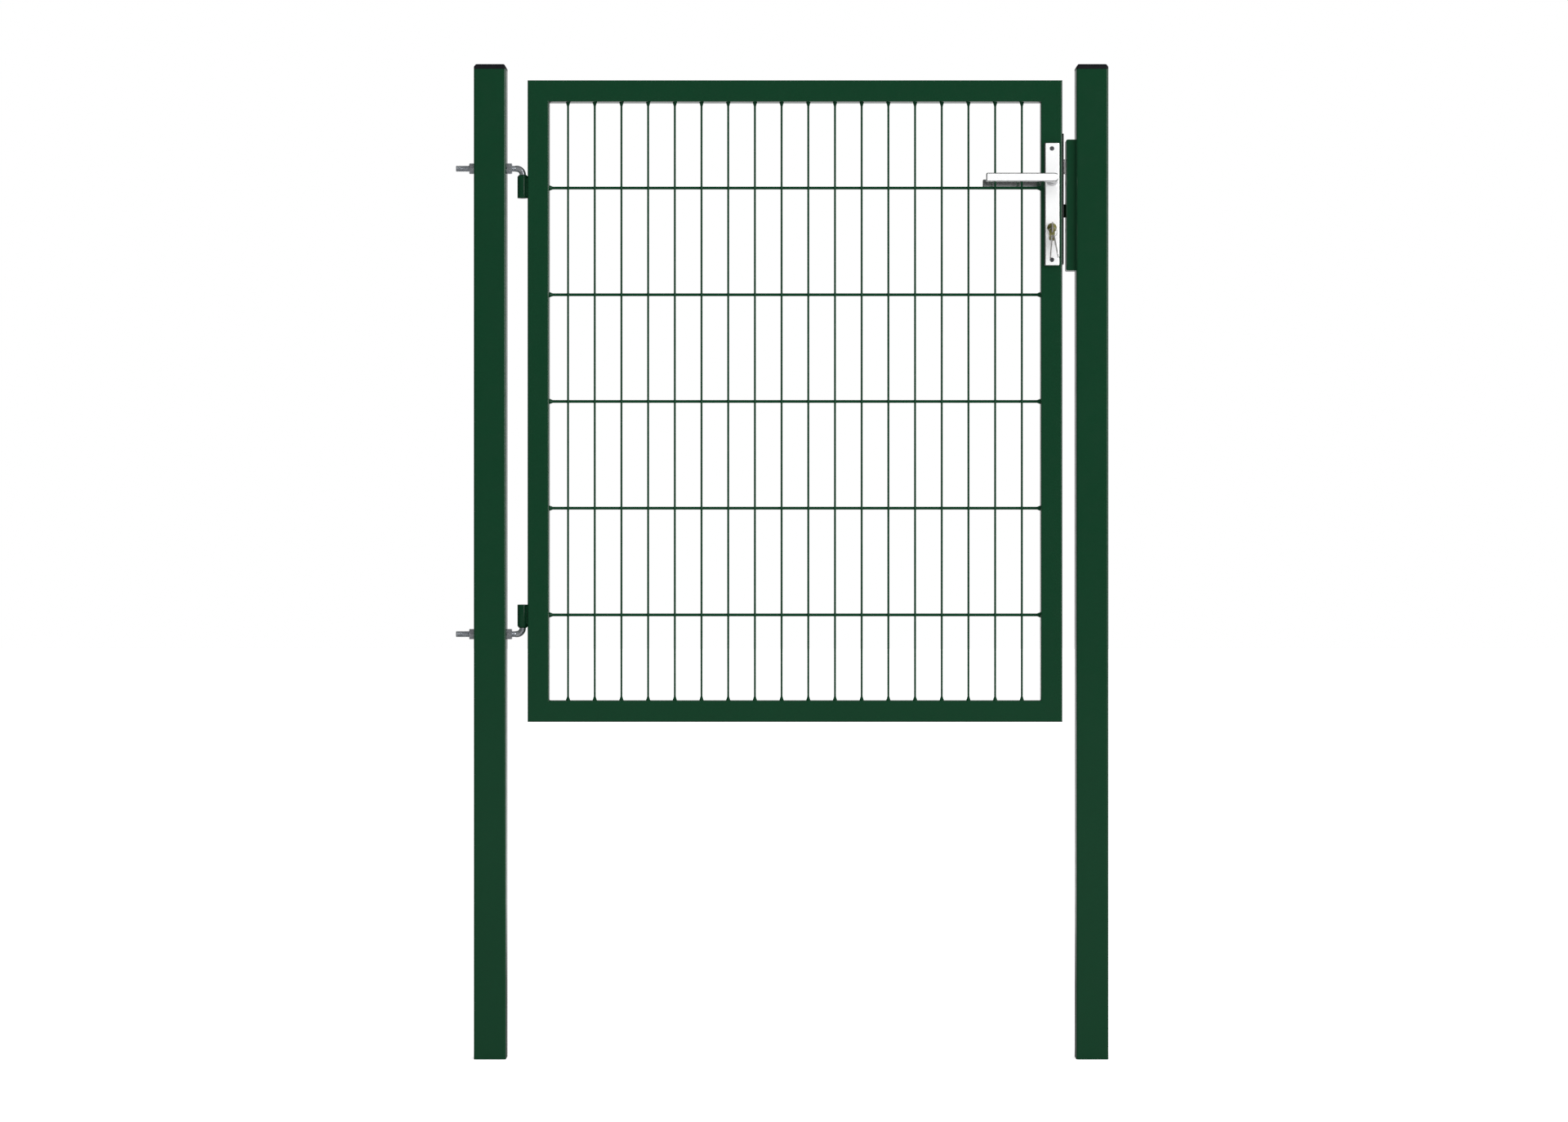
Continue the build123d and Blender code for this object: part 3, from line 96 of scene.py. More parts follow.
class Finish:
    """A node tree: node() adds any node with its settings, and the values or links of its sockets."""

    def __init__(self, owner):
        owner.use_nodes = True
        self.owner = owner
        self.tree = owner.node_tree

    def put(self, node, socket, value):
        """Link a value to a socket, or write a plain number or colour there."""
        if isinstance(value, Value):
            self.tree.links.new(value.socket, node.inputs[socket])
        else:
            node.inputs[socket].default_value = value

    def node(self, kind, settings, sockets, output=0):
        node = self.tree.nodes.new(kind)
        for name, value in settings.items():
            setattr(node, name, value)
        for socket, value in sockets.items():
            self.put(node, socket, value)
        return Value(self, node.outputs[output])

    def along(self, vector, axis):
        """One coordinate, X, Y or Z, of a vector."""
        return self.node("ShaderNodeSeparateXYZ", {}, {"Vector": vector}, axis)

    def ray(self, kind):
        """1 for light paths of one kind, such as Is Camera Ray."""
        return self.node("ShaderNodeLightPath", {}, {}, kind)


class Surface(Finish):
    """A material with one principled shader, patterned on object coordinates."""

    def __init__(self, name, metallic=0.0, specular=0.5):
        super().__init__(bpy.data.materials.new(name))
        self.shader = self.tree.nodes["Principled BSDF"]
        self.put(self.shader, "Metallic", metallic)
        self.put(self.shader, "Specular IOR Level", specular)
        self.place = self.node("ShaderNodeTexCoord", {}, {}, "Object")
        self.normal = None

    def stretched(self, factors):
        """Object coordinates scaled by one factor for each axis."""
        return self.node("ShaderNodeMapping", {}, {"Vector": self.place, "Scale": factors})

    def noise(self, scale, detail=3.0, roughness=0.5, place=None):
        return self.node("ShaderNodeTexNoise", {}, {
            "Vector": place or self.place, "Scale": scale, "Detail": detail, "Roughness": roughness})

    def cells(self, scale):
        return self.node("ShaderNodeTexVoronoi", {}, {"Vector": self.place, "Scale": scale})

    def colour(self, share, low, high):
        """Base colour running from low to high as share runs from 0 to 1."""
        self.put(self.shader, "Base Color", self.node("ShaderNodeMix", {"data_type": "RGBA"}, {
            "Factor": share, "A": (*low, 1.0), "B": (*high, 1.0)}, "Result"))

    def rough(self, value):
        self.put(self.shader, "Roughness", value)

    def bump(self, height, distance, strength):
        """Lay one more relief over the ones before; distance is its depth in metres."""
        sockets = {"Height": height, "Distance": distance, "Strength": strength}
        if self.normal is not None:
            sockets["Normal"] = self.normal
        self.normal = self.node("ShaderNodeBump", {}, sockets)
        self.put(self.shader, "Normal", self.normal)


# ---------------------------------------------------------------- finishes

MOSS_DARK, MOSS_LIGHT = (0.0051, 0.0400, 0.0168), (0.0061, 0.0446, 0.0191)
PLATE_FACE = -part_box("front_plate")[0][1]
LEVER_FACE = -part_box("front_handle")[0][1]


def powder_coat(name, peel, specular):
    """Moss green powder coat: faint clouds of colour, orange peel and small changes of gloss."""
    coat = Surface(name, specular=specular)
    coat.colour(coat.noise(6.0, 4.0), MOSS_DARK, MOSS_LIGHT)
    coat.rough(coat.noise(45.0, 2.0).between(0.3, 0.7, 0.12, 0.19))
    coat.bump(coat.noise(420.0, 2.0, 0.4), 0.00010, peel)
    coat.bump(coat.noise(110.0, 1.0), 0.00012, 0.5 * peel)
    return coat.owner


def moulded_black():
    """Black moulded plastic with a fine spark-eroded grain."""
    plastic = Surface("moulded_black", specular=0.15)
    plastic.colour(plastic.noise(30.0), (0.0060, 0.0070, 0.0090), (0.0085, 0.0100, 0.0125))
    plastic.rough(plastic.noise(60.0).between(0.3, 0.7, 0.46, 0.58))
    plastic.bump(plastic.cells(900.0), 0.00008, 0.5)
    return plastic.owner


def zinc_plate():
    """Bright zinc: blue-grey with a small spangle, slight stains and a satin gloss."""
    zinc = Surface("zinc_plate", metallic=0.85)
    spangle = zinc.cells(260.0) * 0.6 + zinc.noise(120.0, 4.0) * 0.5
    zinc.colour(spangle.between(0.15, 0.75), (0.50, 0.53, 0.57), (0.74, 0.77, 0.81))
    zinc.rough(zinc.noise(200.0, 3.0).between(0.3, 0.7, 0.24, 0.38))
    zinc.bump(zinc.noise(900.0, 3.0), 0.00005, 0.5)
    return zinc.owner


def anodised(name, face):
    """Satin anodised aluminium: a pale brushed outer face, and polished metal all round it.

    The polish starts where the distance from the middle plane of the leaf falls short of the face.
    """
    skin = Surface(name)
    polish = abs(skin.along(skin.place, "Y")).between(face - 0.10 * MM, face - 0.01 * MM, 1.0, 0.0)
    hair = skin.noise(28.0, 4.0, place=skin.stretched((60.0, 60.0, 1.0)))
    skin.colour(hair.between(0.3, 0.7), (0.93, 0.935, 0.94), (0.97, 0.975, 0.98))
    skin.put(skin.shader, "Metallic", polish.between(0.0, 1.0, 0.12, 1.0))
    skin.rough(hair.between(0.3, 0.7, 0.34, 0.44) - 0.28 * polish)
    skin.bump(hair, 0.00003, 0.35)
    return skin.owner


def drawn_steel(name, low, high, along, roughness, metallic=1.0):
    """Steel with drawn or ground lines; along has a small factor on the axis that they follow."""
    steel = Surface(name, metallic=metallic)
    lines = steel.noise(25.0, 5.0, place=steel.stretched(along))
    steel.colour(lines.between(0.3, 0.7), low, high)
    steel.rough(lines.between(0.3, 0.7, roughness, roughness + 0.12))
    steel.bump(lines, 0.00004, 0.4)
    return steel.owner


def turned_brass():
    """Dull olive brass with brown stains and fine turning marks."""
    brass = Surface("turned_brass", metallic=0.75)
    stain = brass.noise(140.0, 5.0)
    brass.colour(stain.between(0.3, 0.75), (0.20, 0.185, 0.055), (0.42, 0.40, 0.15))
    brass.rough(stain.between(0.3, 0.7, 0.30, 0.48))
    brass.bump(brass.noise(1500.0, 3.0), 0.00003, 0.6)
    return brass.owner


def worn_nickel():
    """Nickel silver of keys and ring: fine scratches, and duller where hands don't polish it."""
    nickel = Surface("worn_nickel", metallic=0.75)
    wear = nickel.noise(90.0, 2.0)
    scratches = nickel.noise(60.0, 5.0, place=nickel.stretched((30.0, 30.0, 4.0)))
    share = (wear * 0.5 + scratches * 0.5).between(0.35, 0.65)
    nickel.colour(share, (0.50, 0.49, 0.46), (0.68, 0.67, 0.65))
    nickel.rough(scratches.between(0.3, 0.7, 0.20, 0.34))
    nickel.bump(scratches, 0.00003, 0.5)
    return nickel.owner


def buffer_rubber():
    """Soft black rubber, matt and slightly pitted."""
    rubber = Surface("soft_rubber", specular=0.3)
    rubber.colour(rubber.noise(120.0), (0.008, 0.008, 0.008), (0.018, 0.018, 0.018))
    rubber.rough(rubber.noise(300.0).between(0.3, 0.7, 0.72, 0.84))
    rubber.bump(rubber.cells(700.0), 0.0001, 0.6)
    return rubber.owner


def bearing_plastic():
    """Pale grey nylon of the handle bearings."""
    nylon = Surface("bearing_nylon")
    nylon.colour(nylon.noise(90.0), (0.50, 0.50, 0.51), (0.58, 0.58, 0.59))
    nylon.rough(nylon.noise(200.0).between(0.3, 0.7, 0.42, 0.55))
    nylon.bump(nylon.noise(700.0), 0.00005, 0.5)
    return nylon.owner


ALONG_X = (1.0, 60.0, 60.0)
ALONG_Y = (60.0, 1.0, 60.0)
ALONG_Z = (60.0, 60.0, 1.0)
FINISHES = {
    "post_paint": powder_coat("post_powder_coat", 0.30, 0.25),
    "frame_paint": powder_coat("frame_powder_coat", 0.35, 0.25),
    "wire_paint": powder_coat("wire_powder_coat", 0.50, 0.10),
    "cap_plastic": moulded_black(),
    "zinc_steel": zinc_plate(),
    "plate_aluminium": anodised("anodised_plate", PLATE_FACE),
    "forend_steel": drawn_steel(
        "brushed_stainless", (0.42, 0.42, 0.42), (0.60, 0.60, 0.60), ALONG_Z, 0.10),
    "latch_steel": drawn_steel(
        "nickelled_bolt", (0.88, 0.88, 0.87), (0.95, 0.95, 0.94), ALONG_X, 0.30, 0.25),
    "cylinder_brass": turned_brass(),
    "key_nickel": worn_nickel(),
    "case_steel": drawn_steel(
        "case_sheet", (0.38, 0.39, 0.41), (0.52, 0.53, 0.55), ALONG_Z, 0.35),
    "hardened_steel": drawn_steel(
        "hardened_steel", (0.24, 0.25, 0.27), (0.38, 0.39, 0.41), ALONG_Y, 0.30),
    "spring_steel": drawn_steel(
        "spring_wire", (0.28, 0.29, 0.31), (0.42, 0.43, 0.45), ALONG_Y, 0.28),
    "bush_plastic": bearing_plastic(),
    "buffer_rubber": buffer_rubber(),
}
lever_finish = anodised("anodised_lever", LEVER_FACE)
for row in frame["record"]["subparts"]:
    node = frame["nodes"][row["node"]]
    node.data.materials.clear()
    node.data.materials.append(FINISHES[row["material_slot"]])
for name in ("front_handle", "rear_handle"):
    frame["nodes"][name].data.materials[0] = lever_finish


# ---------------------------------------------------------------- mesh helpers

def box(node):
    """Lowest and highest corner of a CAD node as arrays."""
    low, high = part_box(node)
    return np.array(low), np.array(high)


class Piece:
    """Collects grids of points into one mesh object."""

    def __init__(self):
        self.points = []
        self.faces = []
        self.count = 0

    def grid(self, rows, caps=False, closed=False, flip=False):
        """Quads round and along rows of points, which returns the points' numbers.

        caps fills the first and the last row, and closed joins the last row to the first.
        """
        rows = np.asarray(rows, float)
        number, columns = rows.shape[:2]
        bands = number if closed else number - 1
        i, j = np.meshgrid(np.arange(bands), np.arange(columns), indexing="ij")
        after, ahead = (j + 1) % columns, (i + 1) % number
        quads = np.stack([i * columns + j, i * columns + after,
                          ahead * columns + after, ahead * columns + j], axis=-1).reshape(-1, 4)
        faces = (quads + self.count).tolist()
        if caps:
            faces.append((self.count + np.arange(columns)[::-1]).tolist())
            faces.append((self.count + (number - 1) * columns + np.arange(columns)).tolist())
        self.faces += [face[::-1] for face in faces] if flip else faces
        self.points.append(rows.reshape(-1, 3))
        self.count += number * columns
        return np.arange(self.count - number * columns, self.count).reshape(number, columns)

    def fill(self, loops, across, way):
        """Triangles between an outline and the holes in it, given by their point numbers.

        across names the two coordinates of the flat face, and way is the sign that its area gets.
        """
        flat = np.concatenate(self.points)[:, across]
        flat = np.concatenate([flat, 0 * flat[:, :1]], axis=1)
        order = tessellate_polygon([flat[loop].tolist() for loop in loops])
        corners = np.concatenate(loops)[np.array(order)]
        a, b, c = flat[corners].transpose(1, 0, 2)
        area = np.cross(b - a, c - a)[:, 2].sum()
        self.faces += (corners if area * way > 0 else corners[:, ::-1]).tolist()

    def object(self, name, body, slot, replaces, smooth):
        """Make the mesh object; edges sharper than smooth degrees stay sharp."""
        mesh = bpy.data.meshes.new(name)
        mesh.from_pydata(np.concatenate(self.points).tolist(), [], self.faces)
        mesh.shade_smooth()
        mesh.set_sharp_from_angle(angle=radians(smooth))
        mesh.materials.append(FINISHES[slot])
        made = bpy.data.objects.new(name, mesh)
        bpy.context.scene.collection.objects.link(made)
        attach(made, body)
        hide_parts(*replaces)


FLAT_EDGE = 0.1 * MM


def rounded_square(half_x, half_y, corner, steps=7):
    """Points round a rectangle, counter-clockwise: a quarter circle about each corner's centre.

    One more point stands FLAT_EDGE before and behind each arc, so that the flats shade flat.
    """
    turn = np.linspace(0, pi / 2, steps + 1) + np.arange(4)[:, None] * pi / 2
    turn = np.concatenate([turn[:, :1], turn, turn[:, -1:]], axis=1)
    along = np.zeros(steps + 3)
    along[0], along[-1] = -FLAT_EDGE, FLAT_EDGE
    side_x, side_y = np.array([1, -1, -1, 1]), np.array([1, 1, -1, -1])
    x = side_x[:, None] * (half_x - corner) + corner * np.cos(turn) - along * np.sin(turn)
    y = side_y[:, None] * (half_y - corner) + corner * np.sin(turn) + along * np.cos(turn)
    return np.stack([x.ravel(), y.ravel()], axis=-1)


def stacked(sections, heights, middle):
    """Rows of points from flat sections, one for each height, about a middle in the plane."""
    sections, heights = np.asarray(sections), np.asarray(heights)
    level = np.broadcast_to(heights[:, None, None], (*sections.shape[:2], 1))
    return np.concatenate([sections + np.asarray(middle), level], axis=-1)


def turned(stations, radii, middle, axis, steps):
    """Rows of a body of revolution: circles of the given radii at stations along an axis.

    Radii hold one value for each station, or one for each station and angle.
    """
    radii = np.broadcast_to(np.asarray(radii).reshape(len(stations), -1), (len(stations), steps))
    angle = np.arange(steps) * tau / steps
    rows = np.zeros((len(stations), steps, 3))
    first, second = ((1, 2), (2, 0), (0, 1))[axis]
    rows[..., axis] = np.asarray(stations)[:, None]
    rows[..., first] = middle[first] + radii * np.cos(angle)
    rows[..., second] = middle[second] + radii * np.sin(angle)
    return rows


# ---------------------------------------------------------------- posts, caps and leaf frame

POST_CORNER, FRAME_CORNER, WALL = 4 * MM, 3 * MM, 2 * MM
SKIRT_OUTSIDE, SKIRT_INSIDE, SKIRT_CORNER = 2.4 * MM, 4.6 * MM, 2 * MM


def tube(name, body, slot, axis, corner, mitres=(0, 0)):
    """Square tube in its node's box: inner and outer rounded squares joined round both ends.

    A mitre cuts an end back by one unit for each unit across, from the higher side (1) or from the
    lower side (-1) of the coordinate across the tube.
    """
    low, high = box(name)
    middle, half = (low + high) / 2, (high - low) / 2
    first, second = ((1, 2), (2, 0), (0, 1))[axis]
    lean = second if axis == 0 else first
    rows = []
    for cut, end in ((WALL, 0), (0.0, 0), (0.0, 1), (WALL, 1)):
        section = rounded_square(half[first] - cut, half[second] - cut, corner - cut)
        points = np.zeros((len(section), 3))
        points[:, first] = middle[first] + section[:, 0]
        points[:, second] = middle[second] + section[:, 1]
        across = points[:, lean] - low[lean]
        back = {0: 0 * across, 1: 2 * half[lean] - across, -1: across}[mitres[end]]
        points[:, axis] = high[axis] - back if end else low[axis] + back
        rows.append(points)
    made = Piece()
    made.grid(rows, closed=True)
    made.object(name + "_tube", body, slot, [name], 50)


for name in ("hinge_post", "latch_post"):
    tube(name, "posts", "post_paint", 2, POST_CORNER)
tube("hinge_stile", "gate_leaf", "frame_paint", 2, FRAME_CORNER, (-1, -1))
tube("lock_stile", "gate_leaf", "frame_paint", 2, FRAME_CORNER, (1, 1))
tube("top_rail", "gate_leaf", "frame_paint", 0, FRAME_CORNER, (1, 1))
tube("bottom_rail", "gate_leaf", "frame_paint", 0, FRAME_CORNER, (-1, -1))


def cap(name):
    """Moulded cap: soft rim, bevelled crown with rounded shoulders, a faintly domed top, a skirt.

    Each row of the profile gives the inset from the post's face, the corner radius and the height
    above the rim, all in millimetres.
    """
    low, high = box(name)
    middle, half = (low + high)[:2] / 2, (high[0] - low[0]) / 2
    profile = np.array([
        (0.6, 3.4, 0.02), (0.15, 3.8, 0.25), (0.0, 4.0, 0.8), (0.0, 4.0, 3.9), (0.12, 3.95, 4.5),
        (0.45, 3.8, 5.1), (3.0, 3.4, 8.7), (3.35, 3.3, 9.1), (3.9, 3.2, 9.36), (4.8, 3.0, 9.43),
        (16.0, 2.6, 9.5)]) * MM
    rim = high[2] - profile[-1, 2]
    made = Piece()
    crown = [rounded_square(half - inset, half - inset, corner) for inset, corner, _ in profile]
    made.grid(stacked(crown, rim + profile[:, 2], middle), caps=True)
    insets = (SKIRT_OUTSIDE, SKIRT_OUTSIDE, SKIRT_INSIDE, SKIRT_INSIDE)
    skirt = [rounded_square(half - inset, half - inset, SKIRT_CORNER) for inset in insets]
    made.grid(stacked(skirt, [rim, low[2], low[2], rim], middle), closed=True, flip=True)
    made.object(name + "_moulded", "posts", "cap_plastic", [name], 30)


cap("hinge_post_cap")
cap("latch_post_cap")


# ---------------------------------------------------------------- wire mesh

WIRE_COUNT, ROW_COUNT, WIRE_SIDES = 18, 5, 14
NUGGET, SPREAD, LUMP = 0.22 * MM, 2.2 * MM, 0.16 * MM
WIRE_COLLAR, WIRE_FLARE = 4.3 * MM, 7.5 * MM
ROW_COLLAR, ROW_FLARE = 5.3 * MM, 6.5 * MM


def wire(piece, start, end, radius, collar, flare, middle, axis, crossings, seed):
    """Wire whose ends flare into their welds, with a small nugget where it crosses another.

    Radius at s is radius + (collar - radius) (1 - d / flare)^1.1, with d the distance to the nearer
    end, plus NUGGET exp(-((s - crossing) / SPREAD)^2). Near the ends smoothed noise roughens it.
    """
    near = np.linspace(0, 1, 9) ** 1.4 * flare
    round_crossings = (crossings[:, None] + np.linspace(-2.2, 2.2, 7) * SPREAD).ravel()
    stations = np.unique(np.concatenate([start + near, end - near, round_crossings]))
    weld = np.clip(1 - np.minimum(stations - start, end - stations) / flare, 0, 1)
    bumps = np.exp(-((stations[:, None] - crossings) / SPREAD) ** 2).sum(axis=1)
    lumps = np.random.default_rng(seed).normal(0, LUMP, (len(stations), WIRE_SIDES))
    lumps = (lumps + np.roll(lumps, 1, 1) + np.roll(lumps, -1, 1)) / 2 * weld[:, None]
    radii = radius + (collar - radius) * weld ** 1.1 + NUGGET * bumps
    piece.grid(turned(stations, radii[:, None] + lumps, middle, axis, WIRE_SIDES), caps=True)


def wire_mesh():
    """Uprights and cross wires at an even pitch, each welded to the others and to the frame."""
    low, high = box("vertical_wires")
    row_low, row_high = box("horizontal_wires")
    wire_r, row_r = (high[1] - low[1]) / 2, (row_high[1] - row_low[1]) / 2
    wire_x = np.linspace(low[0] + wire_r, high[0] - wire_r, WIRE_COUNT)
    row_z = np.linspace(row_low[2] + row_r, row_high[2] - row_r, ROW_COUNT)
    wire_y, row_y = (low[1] + high[1]) / 2, (row_low[1] + row_high[1]) / 2
    uprights, rows = Piece(), Piece()
    for seed, x in enumerate(wire_x):
        wire(uprights, low[2], high[2], wire_r, WIRE_COLLAR, WIRE_FLARE, (x, wire_y, 0), 2,
             row_z, seed)
    for seed, z in enumerate(row_z, 100):
        wire(rows, row_low[0], row_high[0], row_r, ROW_COLLAR, ROW_FLARE, (0, row_y, z), 0,
             wire_x, seed)
    uprights.object("vertical_wires_welded", "gate_leaf", "wire_paint",
                    ["vertical_wires", "mesh_end_welds"], 60)
    rows.object("horizontal_wires_welded", "gate_leaf", "wire_paint", ["horizontal_wires"], 60)


wire_mesh()


# ---------------------------------------------------------------- hinges

BOLT_SIDES, THREAD_PITCH, THREAD_DEPTH = 28, 1.75 * MM, 0.95 * MM
THREAD_LENGTH, BEND, POINT = 110 * MM, 11.5 * MM, 1.1 * MM
PIN_TIP = np.array([(25, 1.0), (10, 1.0), (1.2, 1.0), (0.7, 0.965), (0.3, 0.9), (0.0, 0.8)])
BOLT_BORE, NUT_SIDES = 6.05 * MM, 72
BARREL_SIDES, BARREL_EDGE = 48, 0.8 * MM
BEAD_STEPS, BEAD_RIPPLES, BEAD_LENGTH, BEAD_SWELL = 90, 14, 36 * MM, 0.9 * MM
BEAD_SECTION = np.array([(0, 9.3), (4.1, 7.6), (0, 3.0)]) * MM


def carried(path, radii):
    """Rows of circles square to a path in the XZ plane; radii hold one value for each row and angle."""
    ahead = np.gradient(path, axis=0)
    ahead /= np.linalg.norm(ahead, axis=1)[:, None]
    side = np.array([0.0, 1.0, 0.0])
    angle = (np.arange(radii.shape[1]) * tau / radii.shape[1])[None, :, None]
    spoke = np.cos(angle) * side + np.sin(angle) * np.cross(ahead, side)[:, None, :]
    return path[:, None, :] + radii[:, :, None] * spoke


def hinge_bolt(name, way):
    """Bolt bent up (way 1) or down (way -1) into a pin, with a rolled thread on its straight part.

    The thread's groove has the depth of a triangle wave of (s / pitch + angle / turn), clipped flat
    at crest and root, and runs out over its last two turns. PIN_TIP gives the pin's end as distances
    from the tip in millimetres and shares of the radius.
    """
    low, high = box(name)
    radius = (high[1] - low[1]) / 2
    z_axis = low[2] + radius if way > 0 else high[2] - radius
    z_tip = high[2] if way > 0 else low[2]
    x_pin, thread_end = high[0] - radius, low[0] + THREAD_LENGTH
    threaded = np.arange(low[0], thread_end + 2 * THREAD_PITCH, THREAD_PITCH / 8)
    plain = np.linspace(thread_end + 2.2 * THREAD_PITCH, x_pin - BEND, 4)
    turn = np.linspace(0, pi / 2, 14)[1:]
    pin = z_tip - way * PIN_TIP[:, 0] * MM
    x = np.concatenate([threaded, plain, x_pin - BEND + BEND * np.sin(turn), np.full(len(pin), x_pin)])
    z = np.concatenate([np.full(len(threaded) + len(plain), z_axis),
                        z_axis + way * BEND * (1 - np.cos(turn)), pin])
    path = np.stack([x, 0 * x, z], axis=-1)
    s = (x - low[0])[:, None]
    phase = (s / THREAD_PITCH + np.arange(BOLT_SIDES) / BOLT_SIDES) % 1.0
    groove = THREAD_DEPTH * np.clip(1.25 - 2.5 * np.abs(phase - 0.5), 0, 1)
    run_out = np.clip((THREAD_LENGTH + 2 * THREAD_PITCH - s) / (2 * THREAD_PITCH), 0, 1)
    radii = np.minimum(radius - groove * run_out, radius - POINT + np.clip(s, 0, POINT))
    radii[-len(PIN_TIP):] *= PIN_TIP[:, 1:]
    made = Piece()
    made.grid(carried(path, radii), caps=True)
    made.object(name + "_threaded", "posts", "zinc_steel", [name], 40)


hinge_bolt("upper_hinge_bolt", -1)
hinge_bolt("lower_hinge_bolt", 1)


def nut_rows(start, end, z, flat):
    """Rows of a nut along X with level flats: its outline is flat / cos(angle from a flat).

    Each face falls back beyond its bearing circle at 30 degrees, and the bore is countersunk.
    """
    sink, mouth = 0.9 * MM, BOLT_BORE + 0.8 * MM
    angle = np.arange(NUT_SIDES) * tau / NUT_SIDES
    hexagon = flat / np.cos(angle % (pi / 3) - pi / 6)
    bearing = 0.985 * flat
    fall = np.maximum(hexagon - bearing, 0) * np.tan(radians(30))
    even = np.ones(NUT_SIDES)
    radii = [BOLT_BORE * even, mouth * even, bearing * even, hexagon]
    depths = [sink * even, 0 * even, 0 * even, fall]
    radii = np.array(radii + radii[::-1])
    along = np.array([start + depth for depth in depths] + [end - depth for depth in depths[::-1]])
    return np.stack([along, radii * np.cos(angle), z + radii * np.sin(angle)], axis=-1)


def nut_pair(name):
    """Chamfered nuts at both hinges, at the lowest and highest place of their node's box."""
    low, high = box(name)
    flat = (high[1] - low[1]) / 2 * np.cos(radians(30))
    made = Piece()
    for z in (low[2] + flat, high[2] - flat):
        made.grid(nut_rows(low[0], high[0], z, flat), closed=True)
    made.object(name + "_chamfered", "posts", "zinc_steel", [name], 25)


nut_pair("hinge_outer_nuts")
nut_pair("hinge_inner_nuts")


def barrel(name, way):
    """Tube bored for the pin: a cone at the mouth next to the bend, a quarter circle at the end.

    Each row of the cone gives the distance from the mouth and the inset, in millimetres.
    """
    low, high = box(name)
    middle, radius = (low + high) / 2, (high[1] - low[1]) / 2
    mouth, end = (low[2], high[2]) if way > 0 else (high[2], low[2])
    cone = np.array([(0.0, 2.6), (0.4, 2.2), (3.3, 0.1), (3.9, 0.0)]) * MM
    turn = np.linspace(0, pi / 2, 6)
    stations = np.concatenate([
        [mouth], mouth + way * cone[:, 0], end - way * BARREL_EDGE * (1 - np.sin(turn)), [end]])
    radii = np.concatenate([
        [BOLT_BORE], radius - cone[:, 1], radius - BARREL_EDGE * (1 - np.cos(turn)), [BOLT_BORE]])
    made = Piece()
    made.grid(turned(stations, radii, middle, 2, BARREL_SIDES), closed=True, flip=way < 0)
    made.object(name + "_turned", "gate_leaf", "frame_paint", [name], 32)


barrel("upper_hinge_barrel", -1)
barrel("lower_hinge_barrel", 1)


def weld_beads():
    """Ripple welds in the grooves between barrels and stile.

    BEAD_SECTION holds a bead's foot on the stile, crest on the barrel and root between them, each
    as its distance from the stile and from the middle plane. The section runs from foot to crest,
    swelling out as sin(pi v), and the swell rises and falls with |sin| of the way along the bead.
    Towards both ends the bead tapers to nothing.
    """
    low, high = box("hinge_welds")
    made = Piece()
    u = np.linspace(0, 1, BEAD_STEPS)[:, None]
    v = np.linspace(0, 1, 9)[None, :]
    taper = (1 - np.abs(2 * u - 1) ** 10) ** 0.5
    ripple = 0.75 + 0.25 * np.abs(np.sin(u * pi * BEAD_RIPPLES))
    swell = BEAD_SWELL * np.sin(pi * v) * ripple
    for z_low in (low[2], high[2] - BEAD_LENGTH):
        for side in (-1, 1):
            foot, crest, root = np.array([high[0], 0]) + BEAD_SECTION * (-1, side)
            way = np.array([-0.35, side * 0.94])
            edge = foot + (crest - foot) * v[..., None] + swell[..., None] * way
            edge = np.concatenate([edge, np.broadcast_to(root, (BEAD_STEPS, 1, 2))], axis=1)
            edge = root + (edge - root) * taper[..., None]
            z = np.broadcast_to(z_low + u * BEAD_LENGTH, edge.shape[:2])
            made.grid(np.concatenate([edge, z[..., None]], axis=-1), caps=True, flip=side < 0)
    made.object("hinge_welds_rippled", "gate_leaf", "frame_paint", ["hinge_welds"], 50)


weld_beads()


# ---------------------------------------------------------------- plates and key ring

ROLL_SIDE, ROLL_END, ROLL_DEPTH, PLATE_CORNER = 2.9 * MM, 1.4 * MM, 2.0 * MM, 1.5 * MM
HOLE_STEPS = 48
HEAD_HOLE, SHANK_HOLE, BEARING_HOLE = 4.3 * MM, 2.7 * MM, 10.55 * MM
HEAD_PLAY, CYLINDER_PLAY, LEG_RADIUS = 0.1 * MM, 0.25 * MM, 5.0 * MM
RING_STEPS, RING_SIDES, RING_START = 180, 12, 0.8


def placed(outlines, depths, middle):
    """Rows of points from outlines in X and Z, one for each Y, about a middle."""
    level = np.broadcast_to(depths[:, None], outlines.shape[:2])
    return np.stack([outlines[..., 0] + middle[0], level, outlines[..., 1] + middle[2]], axis=-1)


def keyhole(radius, leg, foot):
    """Outline of a profile cylinder: an arc of the round head, and the leg's round foot below it."""
    meet = np.arccos(leg / radius)
    head = np.linspace(-meet, pi + meet, HOLE_STEPS)
    low = np.linspace(pi, tau, HOLE_STEPS // 2)
    x = np.concatenate([radius * np.cos(head), leg * np.cos(low)])
    z = np.concatenate([radius * np.sin(head), leg * np.sin(low) - foot])
    return np.stack([x, z], axis=-1)


